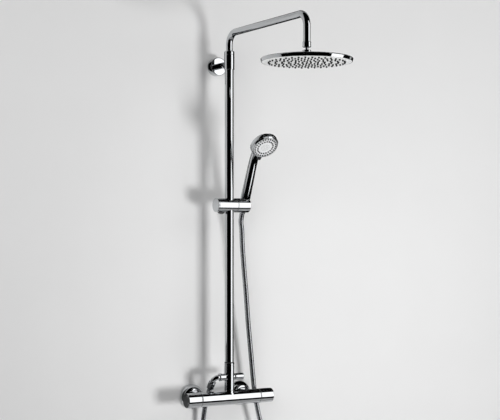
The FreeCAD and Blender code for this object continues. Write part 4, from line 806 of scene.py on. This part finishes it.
RAIN_NOZZLE_R = 2.4
RAIN_NOZZLE_TIP_R = 2.1
RAIN_NOZZLE_SUNK = 1.2


def make_satin(name, tint, low, high, metal):
    """Satin chrome on moulded plastic: a soft broad gloss, a little uneven from the mould."""
    material, tree = start_material(name)
    place = add_node(tree, "ShaderNodeTexCoord", {})
    patches = {"Scale": 1 / (CHROME_SMEAR_MM * MM), "Detail": 4.0}
    cloud = add_node(tree, "ShaderNodeTexNoise", patches, [(place, "Object", "Vector")])
    dull, bright = SATIN_RANGE
    limits = {"From Min": dull, "From Max": bright, "To Min": low, "To Max": high}
    gloss = add_node(tree, "ShaderNodeMapRange", limits, [(cloud, "Fac", "Value")])
    tone = add_node(tree, "ShaderNodeValToRGB", {}, [(cloud, "Fac", "Fac")])
    tone.color_ramp.elements[0].color = shade(paint(tint), SATIN_TONE)
    tone.color_ramp.elements[1].color = paint(tint)
    surface = add_node(
        tree, "ShaderNodeBsdfPrincipled", {"Metallic": metal},
        [(tone, "Color", "Base Color"), (gloss, "Result", "Roughness")])
    add_node(tree, "ShaderNodeOutputMaterial", {}, [(surface, 0, "Surface")])
    return material


def make_soft_rubber(name, tint, rough):
    """Moulded silicone or rubber: matt, with the pale bloom that skin and water leave on it."""
    material, tree = start_material(name)
    place = add_node(tree, "ShaderNodeTexCoord", {})
    patches = {"Scale": 1 / (SILICONE_BLOOM_MM * MM), "Detail": 3.0}
    bloom = add_node(tree, "ShaderNodeTexNoise", patches, [(place, "Object", "Vector")])
    tone = add_node(tree, "ShaderNodeValToRGB", {}, [(bloom, "Fac", "Fac")])
    tone.color_ramp.elements[0].color = paint(tint)
    tone.color_ramp.elements[1].color = shade(paint(tint), *SILICONE_BLOOM)
    surface = add_node(
        tree, "ShaderNodeBsdfPrincipled", {"Roughness": rough}, [(tone, "Color", "Base Color")])
    add_node(tree, "ShaderNodeOutputMaterial", {}, [(surface, 0, "Surface")])
    return material


spray_satin = make_satin("satin_spray_plate", PLATE_SATIN, *SATIN_ROUGH, metal=0.0)
nozzle_rubber = make_soft_rubber("nozzle_silicone", SILICONE_DARK, SILICONE_ROUGH)

bm = bmesh.new()
dome = arc_points(DOME_START, DOME_MIDDLE, DOME_END, DOME_STEPS)
dish = [(FACE_Z + up, FACE_R + out) for up, out in FACE_LIP]
dish += [(RIM_Z + up, HEAD_R - less) for up, less in RIM_ROUND]
dish += dome + barrel(DOME_Z, BOSS_TOP, BOSS_R, BOSS_FOOT, BOSS_RIM) + list(BALL_POCKET)
dish += [(along - DISH_WALL, radius) for along, radius in reversed(dome)]
dish += [DISH_INNER_LIP, dish[0]]
lathe(bm, dish, drop, (0, 0, 1), HEAD_SIDES)
finish_piece(bm, "rain_dish", "rain_head", ["head_shell"], chrome)

bm = bmesh.new()
plate = [(FACE_Z + up, FACE_R - less) for up, less in PLATE_EDGE]
plate += [(FACE_Z + up, radius) for up, radius in PLATE_DIMPLE]
lathe(bm, closed(plate), drop, (0, 0, 1), HEAD_SIDES)
finish_piece(bm, "rain_plate", "rain_head", ["head_face"], spray_satin)


def add_nozzles(bm, places, rise, base_r, tip_r, sunk):
    """Soft conical nozzles with a rounded foot and an open tip, standing on a plate that faces down."""
    nozzle = [(-sunk, 0), (-sunk, base_r), (0, base_r + NOZZLE_FOOT), (NOZZLE_FOOT, base_r)]
    nozzle += [(rise - along, tip_r - less) for along, less in NOZZLE_TIP] + [(rise - NOZZLE_HOLE, 0)]
    for place in places:
        lathe(bm, nozzle, place, (0, 0, -1), NOZZLE_SIDES)


def ring_places(row, count, reach, middle):
    """Places round a ring, each ring half a step on from the last."""
    angles = [2 * math.pi * (k + 0.5 * (row % 2)) / count for k in range(count)]
    return [Vector(middle) + Vector((reach * math.cos(a), reach * math.sin(a), 0)) for a in angles]


bm = bmesh.new()
places = []
for row in range(RAIN_RINGS):
    reach = RAIN_RING_FIRST_R + row * RAIN_RING_STEP
    places += ring_places(row, RAIN_FIRST * (row + 1), reach, (0, DROP_Y, FACE_Z))
add_nozzles(bm, places, RAIN_NOZZLE_RISE, RAIN_NOZZLE_R, RAIN_NOZZLE_TIP_R, RAIN_NOZZLE_SUNK)
finish_piece(bm, "rain_nozzles", "rain_head", ["head_nozzle_mat"], nozzle_rubber)


# Slider
# A plated plastic barrel across the riser, clamped by a spring shoe inside it. Its left end has a pressed-in
# cap, and a dark finger tab under the left half lets the clamp go.
SLIDER_Z = 523.0
SLIDER_R = 19.0
SLIDER_LEFT = -42.3
END_CAP_WIDTH = 4.0
END_CAP_FACE = ((0.3, 3.2), (0, 2.8), (0, 1.0), (0.35, 0.3), (1.0, 0))
END_CAP_BACK = ((0, 0.5), (0.4, 0))
PLASTIC_CHROME_ROUGH = (0.035, 0.085)
TAB_BLACK = "#08080a"
TAB_ROUGH = 0.32
TAB_CORNER = 0.9

chromed_plastic = make_chrome("bright_chrome_on_plastic", CHROME_TINT, *PLASTIC_CHROME_ROUGH)
tab_plastic = make_soft_rubber("tab_black_acetal", TAB_BLACK, TAB_ROUGH)

polished_copy("slider_body", "slider", chromed_plastic)
bm = bmesh.new()
end_cap = barrel(SLIDER_LEFT, SLIDER_LEFT + END_CAP_WIDTH, SLIDER_R, END_CAP_FACE, END_CAP_BACK)
lathe(bm, closed(end_cap), (0, BAR_Y, SLIDER_Z), (1, 0, 0), BAR_SIDES)
finish_piece(bm, "slider_end", "slider", ["slider_cap"], chromed_plastic)
polished_copy("slider_tab", "release_tab", tab_plastic, TAB_CORNER)


# Holder
# The barrel's right end turns by itself against a thin washer, to tilt the hand shower.
# A tapered hole through it takes the plated cone on the hose's end.
HOLDER_X = 46.0
HOLDER_LEAN = math.radians(24)
SEAT_LOW_R = 8.3
SEAT_WIDENS = 2.0
CONE_LOW = -23.5
CONE_HIGH = 19.6
CONE_BORE_R = 4.6
CONE_SOCKET_R = 8.0
CONE_SOCKET_DEPTH = 14.0
CONE_FOOT = ((0, 1.3), (1.0, 0.3))
CONE_RIM = ((1.0, 0.35), (0, 1.0))
CONE_SIDES = 64
GROOVES = 3
GROOVE_FIRST = 1.6
GROOVE_STEP = 1.1
GROOVE = ((0, 0.3), (0.2, 0.6), (0.5, 0.6), (0.7, 0.3))
holder = Vector((HOLDER_X, BAR_Y, SLIDER_Z))
up_handle = Vector((0, -math.sin(HOLDER_LEAN), math.cos(HOLDER_LEAN)))

polished_copy("handset_holder", "holder", chromed_plastic)


def seat_radius(along):
    """The taper of the holder's hole, by distance along the hand shower's handle."""
    return SEAT_LOW_R + SEAT_WIDENS * (along + SLIDER_R) / (2 * SLIDER_R)


bm = bmesh.new()
cone = [(CONE_LOW + along, seat_radius(CONE_LOW) - less) for along, less in CONE_FOOT]
for k in range(GROOVES):
    at = CONE_LOW + GROOVE_FIRST + GROOVE_STEP * k
    cone += [(at + along, seat_radius(at) - less) for along, less in GROOVE]
cone += [(CONE_HIGH - along, seat_radius(CONE_HIGH) - less) for along, less in CONE_RIM]
socket_floor = CONE_HIGH - CONE_SOCKET_DEPTH
cone += [(CONE_HIGH, CONE_SOCKET_R), (socket_floor, CONE_SOCKET_R), (socket_floor, CONE_BORE_R)]
lathe(bm, [(CONE_LOW, CONE_BORE_R)] + cone + [(CONE_LOW, CONE_BORE_R)], holder, up_handle, CONE_SIDES)
finish_piece(bm, "hose_taper", "hose_cone", ["hose_cone"], chrome)


# Hand shower
# Moulded in two halves and chrome plated: a slim round handle that bends forward into a round head.
# Its spray plate carries two rings of soft nozzles round a finely pierced middle.
HAND_TURN = math.radians(-2)
FACE_OUT = 45.0
FACE_UP = 185.4
FACE_LEAN = math.radians(23)
HANDLE_LINE = (
    (20.0, 0.0, 12.4), (21.0, 0.0, 13.1), (24.0, 0.0, 13.3), (65.0, 0.8, 12.7), (112.0, 2.0, 12.1),
    (144.0, 1.5, 11.6), (170.0, -5.5, 11.1), (191.0, -17.5, 10.7), (197.0, -21.0, 9.0))
HANDLE_STRAIGHT = 3
HANDLE_SIDES = 24
HANDLE_LEVELS = 2
HAND_HEAD_R = 37.5
HAND_HEAD_DEPTH = 28.0
HAND_HEAD_FRONT = ((4.5, 31.0), (4.5, HAND_HEAD_R - 0.6), (5.1, HAND_HEAD_R))
HAND_BACK = (
    (14.5, HAND_HEAD_R), (HAND_HEAD_DEPTH * 0.78, HAND_HEAD_R * 0.78), (HAND_HEAD_DEPTH, HAND_HEAD_R * 0.26))
HAND_BACK_STEPS = 16
HAND_HEAD_TOP = ((HAND_HEAD_DEPTH + 0.3, 5.0), (HAND_HEAD_DEPTH + 0.4, 0))
HAND_SIDES = 96
HAND_PLATE = (
    (2.4, 0), (2.4, 32.0), (0.4, 32.0), (0, 31.6), (0, 20.4), (0.25, 20.0), (0.25, 14.9), (0, 14.4),
    (-0.3, 13.8), (-0.45, 12.5), (-0.5, 0))
HAND_PLATE_SATIN = "#dfe0e1"
HAND_ROWS = ((29.0, 26), (21.4, 20))
HAND_NOZZLE_FOOT = 0.1
HAND_NOZZLE_RISE = 1.4
HAND_NOZZLE_R = 2.3
HAND_NOZZLE_TIP_R = 2.0
HAND_NOZZLE_SUNK = 0.8
PIERCED_ROWS = ((3.5, 6), (7.0, 12), (10.5, 18))
PIERCED_FOOT = -0.45
PIERCED_DOT = ((-0.3, 0), (-0.3, 0.75), (0.15, 0.7), (0.2, 0))
PIERCED_SIDES = 6

hand_lean = Matrix.Rotation(HOLDER_LEAN, 4, "X") @ Matrix.Rotation(HAND_TURN, 4, "Z")
hand_place = Matrix.Translation(holder) @ hand_lean
face_turn = Matrix.Rotation(FACE_LEAN - math.pi / 2, 4, "X")
face_place = hand_place @ Matrix.Translation((0, -FACE_OUT, FACE_UP)) @ face_turn

bm = bmesh.new()
rings = []
for k, (along, out, radius) in enumerate(HANDLE_LINE):
    before, after = HANDLE_LINE[max(k - 1, 0)], HANDLE_LINE[min(k + 1, len(HANDLE_LINE) - 1)]
    rise = after[0] - before[0] if k >= HANDLE_STRAIGHT else 1
    lean = after[1] - before[1] if k >= HANDLE_STRAIGHT else 0
    turn = Matrix.Rotation(math.atan2(-lean, rise), 4, "X")
    made = bmesh.ops.create_circle(
        bm, segments=HANDLE_SIDES, radius=radius, matrix=Matrix.Translation((0, out, along)) @ turn)
    rings.append(list({e for v in made["verts"] for e in v.link_edges}))
for low_ring, high_ring in zip(rings, rings[1:]):
    bmesh.ops.bridge_loops(bm, edges=low_ring + high_ring)
bmesh.ops.edgeloop_fill(bm, edges=rings[0])
bmesh.ops.edgeloop_fill(bm, edges=rings[-1])
bmesh.ops.transform(bm, matrix=hand_place, verts=bm.verts)
handle_piece = finish_piece(bm, "hand_grip", "handset", [], chromed_plastic)
handle_piece.modifiers.clear()
smooth = handle_piece.modifiers.new("moulded_curve", "SUBSURF")
smooth.levels = HANDLE_LEVELS
smooth.render_levels = HANDLE_LEVELS


def on_face(outline, name, body, nodes, material):
    """A round piece of the hand shower's head, turned about the middle of its spray face."""
    bm = bmesh.new()
    lathe(bm, outline, (0, 0, 0), (0, 0, 1), HAND_SIDES)
    bmesh.ops.transform(bm, matrix=face_place, verts=bm.verts)
    finish_piece(bm, name, body, nodes, material)


back = arc_points(*HAND_BACK, HAND_BACK_STEPS)
head = list(HAND_HEAD_FRONT) + back + list(HAND_HEAD_TOP)
on_face(head, "hand_head", "handset", ["handset_shell"], chromed_plastic)
hand_satin = make_satin("satin_hand_plate", HAND_PLATE_SATIN, *SATIN_ROUGH, metal=0.0)
on_face(HAND_PLATE, "hand_plate", "handset", ["handset_face"], hand_satin)

bm = bmesh.new()
places = []
for row, (reach, count) in enumerate(HAND_ROWS):
    places += ring_places(row, count, reach, (0, 0, HAND_NOZZLE_FOOT))
add_nozzles(bm, places, HAND_NOZZLE_RISE, HAND_NOZZLE_R, HAND_NOZZLE_TIP_R, HAND_NOZZLE_SUNK)
for reach, count in PIERCED_ROWS:
    for place in ring_places(0, count, reach, (0, 0, PIERCED_FOOT)):
        lathe(bm, PIERCED_DOT, place, (0, 0, -1), PIERCED_SIDES)
bmesh.ops.transform(bm, matrix=face_place, verts=bm.verts)
finish_piece(bm, "hand_nozzles", "handset", ["handset_nozzle_mat"], nozzle_rubber)


# Spray ring
# A thin plated ring turns round the plate to choose the spray.
# A dark tab for the thumb stands out at its lower edge.
SPRAY_RING = (
    (4.4, 32.3), (4.4, 36.5), (4.1, 36.8), (3.6, 36.8), (3.2, 36.6), (0.0, 35.0), (-0.4, 34.75), (-0.6, 34.4),
    (-0.6, 32.8), (-0.4, 32.4), (0.0, 32.3), (4.4, 32.3))
THUMB_TAB = (8.0, 11.4, 4.0)
THUMB_TAB_PLACE = (0, 40.7, 1.9)
THUMB_TAB_ROUND = 1.2

on_face(SPRAY_RING, "spray_ring", "selector", ["selector_ring"], chromed_plastic)
bm = bmesh.new()
tab = bmesh.ops.create_cube(bm, size=1.0)["verts"]
bmesh.ops.scale(bm, vec=THUMB_TAB, verts=tab)
bmesh.ops.translate(bm, vec=THUMB_TAB_PLACE, verts=tab)
tab_edges = list({e for v in tab for e in v.link_edges})
bmesh.ops.bevel(
    bm, geom=tab_edges, offset=THUMB_TAB_ROUND, segments=3, profile=0.5, affect="EDGES", material=-1)
bmesh.ops.transform(bm, matrix=face_place, verts=bm.verts)
finish_piece(bm, "spray_tab", "selector", [], tab_plastic)


# Shower hose
# A wound metal hose with fine ribs, in the same plate, a metre and a half long. It leaves the elbow behind
# the bar, hangs in one deep loop below it and climbs to the cone under the hand shower.
HOSE_TINT = "#b4b6b9"
HOSE_ROUGH = (0.08, 0.16)
HOSE_R = 6.75
HOSE_RIB_MM = 4.2
HOSE_RIB = ((0, 0.65), (0.1, 0.15), (0.22, 0), (0.78, 0), (0.9, 0.15))
HOSE_SIDES = 18
HOSE_ORDER = 3
HOSE_STEPS = 24
CONE_STRETCH = 0.105
TILT_STRETCH = 0.095
SWIVEL_STRETCH = 0.24
HOSE_POINTS = (
    (-47.0, -57.222, 27.714),
    (-47.0, -45.466, 11.533),
    (-48.0, -33.9, -13.7),
    (-50.0, -25.8, -46.5),
    (-55.0, -23.0, -95.0),
    (-65.5, -23.5, -157.0),
    (-76.5, -25.0, -220.0),
    (-80.0, -27.0, -280.0),
    (-69.0, -29.0, -335.0),
    (-39.0, -31.0, -378.0),
    (8.0, -33.0, -401.0),
    (60.0, -34.0, -403.0),
    (107.0, -35.0, -383.0),
    (141.0, -36.0, -343.0),
    (157.0, -37.0, -289.0),
    (157.0, -38.0, -228.0),
    (147.0, -39.0, -165.0),
    (132.5, -40.0, -112.0),
    (118.5, -40.5, -70.0),
    (107.0, -41.5, -24.0),
    (98.5, -42.0, 26.0),
    (88.5, -44.5, 112.0),
    (76.0, -49.5, 201.0),
    (67.5, -54.0, 280.0),
    (60.5, -53.4, 352.0),
    (55.0, -53.3, 418.0),
    (51.6, -58.6, 455.0),
    (46.0, -59.953, 481.342),
    (46.0, -68.901, 501.44),
)

curve = bpy.data.curves.new("hose_line", "CURVE")
curve.dimensions = "3D"
spline = curve.splines.new("NURBS")
spline.points.add(len(HOSE_POINTS) - 1)
for point, place in zip(spline.points, HOSE_POINTS):
    point.co = (*(Vector(place) * MM), 1.0)
spline.order_u = HOSE_ORDER
spline.use_endpoint_u = True
spline.resolution_u = HOSE_STEPS
line_object = bpy.data.objects.new("hose_line", curve)
bpy.context.scene.collection.objects.link(line_object)
bpy.context.view_layer.update()
line_mesh = bpy.data.meshes.new_from_object(line_object)
hose_line = [v.co.copy() for v in line_mesh.vertices]
bpy.data.objects.remove(line_object)
bpy.data.meshes.remove(line_mesh)

hose_marks = [0.0]
for a, b in zip(hose_line, hose_line[1:]):
    hose_marks.append(hose_marks[-1] + (b - a).length)
hose_length = hose_marks[-1]


def hose_place(along):
    """The place and the direction at a distance along the hose's line."""
    k = 1
    while k < len(hose_marks) - 1 and hose_marks[k] < along:
        k += 1
    step = hose_line[k] - hose_line[k - 1]
    share = (along - hose_marks[k - 1]) / (hose_marks[k] - hose_marks[k - 1])
    return hose_line[k - 1] + step * share, step.normalized()


def hose_frame(along, radius):
    """A matrix that sets a circle of radius one across the hose."""
    place, ahead = hose_place(along)
    side = (Vector((0, 1, 0)) - ahead * ahead.y).normalized()
    turn = Matrix((side, ahead.cross(side), ahead)).transposed().to_4x4()
    return Matrix.Translation(place) @ turn @ Matrix.Diagonal((radius, radius, 1, 1))


def make_hose(name, start, end):
    """One stretch of the ribbed hose, drawn out ring by ring along the line."""
    ribs = max(1, round((end - start) / (HOSE_RIB_MM * MM)))
    pitch = (end - start) / ribs
    stations = []
    for k in range(ribs):
        stations += [(start + (k + share) * pitch, HOSE_R - less) for share, less in HOSE_RIB]
    stations.append((end, HOSE_R - HOSE_RIB[0][1]))
    bm = bmesh.new()
    at = hose_frame(stations[0][0], stations[0][1] * MM)
    made = bmesh.ops.create_circle(bm, segments=HOSE_SIDES, radius=1.0, matrix=at)
    first = edges = list({e for v in made["verts"] for e in v.link_edges})
    for along, radius in stations[1:]:
        new_at = hose_frame(along, radius * MM)
        grown = bmesh.ops.extrude_edge_only(bm, edges=edges)["geom"]
        verts = [g for g in grown if isinstance(g, bmesh.types.BMVert)]
        bmesh.ops.transform(bm, matrix=new_at @ at.inverted(), verts=verts)
        edges = [g for g in grown if isinstance(g, bmesh.types.BMEdge)]
        at = new_at
    bmesh.ops.edgeloop_fill(bm, edges=first)
    bmesh.ops.edgeloop_fill(bm, edges=edges)
    bmesh.ops.scale(bm, vec=(1 / MM, 1 / MM, 1 / MM), verts=bm.verts)
    piece = finish_piece(bm, name, None, ["shower_hose"], hose_metal)
    return piece


hose_metal = make_chrome("wound_hose_chrome", HOSE_TINT, *HOSE_ROUGH)
cone_mark = hose_length - CONE_STRETCH
tilt_mark = cone_mark - TILT_STRETCH
swivel_mark = tilt_mark - SWIVEL_STRETCH
hose_loop = make_hose("hose_loop", 0.0, swivel_mark)
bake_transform(hose_loop)
for name, low_mark, high_mark, low_body, high_body in (
        ("hose_rise", swivel_mark, tilt_mark, "slide_bush", "slider"),
        ("hose_neck", tilt_mark, cone_mark, "slider", "holder"),
        ("hose_tip", cone_mark, hose_length, "holder", "hose_cone")):
    stretch = make_hose(name, low_mark, high_mark)
    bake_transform(stretch)


# Inner pieces
# Brass unions, cartridges and spindles, zinc plated screws, rubber seals and moulded slides, hidden in use.
# They keep the shapes that they were drawn with, in the finish of their stock.
BRASS_TINT = "#b8923f"
BRASS_ROUGH = (0.22, 0.34)
ZINC_TINT = "#a3a6ab"
ZINC_ROUGH = (0.3, 0.45)
RUBBER_BLACK = "#141416"
RUBBER_ROUGH = 0.7
ACETAL_GREY = "#4a4c50"
ACETAL_ROUGH = 0.45
BRASS_NODES = (
    "left_union", "right_union", "flow_cartridge", "temperature_cartridge", "flow_spindle",
    "temperature_spindle", "diverter_spindle", "handset_inlet")
ZINC_NODES = (
    "flow_handle_screw", "temperature_handle_screw", "bracket_grub_screw", "bracket_wall_bolt",
    "clamp_spring", "holder_screw")
RUBBER_NODES = ("inlet_filters", "riser_seal", "arm_seals")
ACETAL_NODES = (
    "diverter_seat", "ball_seat", "slide_bush", "clamp_shoe", "holder_washer", "handset_water_tube")

for stock, nodes in (
        (make_satin("machined_brass", BRASS_TINT, *BRASS_ROUGH, metal=1.0), BRASS_NODES),
        (make_satin("zinc_plated_steel", ZINC_TINT, *ZINC_ROUGH, metal=1.0), ZINC_NODES),
        (make_soft_rubber("seal_rubber", RUBBER_BLACK, RUBBER_ROUGH), RUBBER_NODES),
        (make_soft_rubber("moulded_acetal", ACETAL_GREY, ACETAL_ROUGH), ACETAL_NODES)):
    for node in nodes:
        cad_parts[node].data.materials[0] = stock
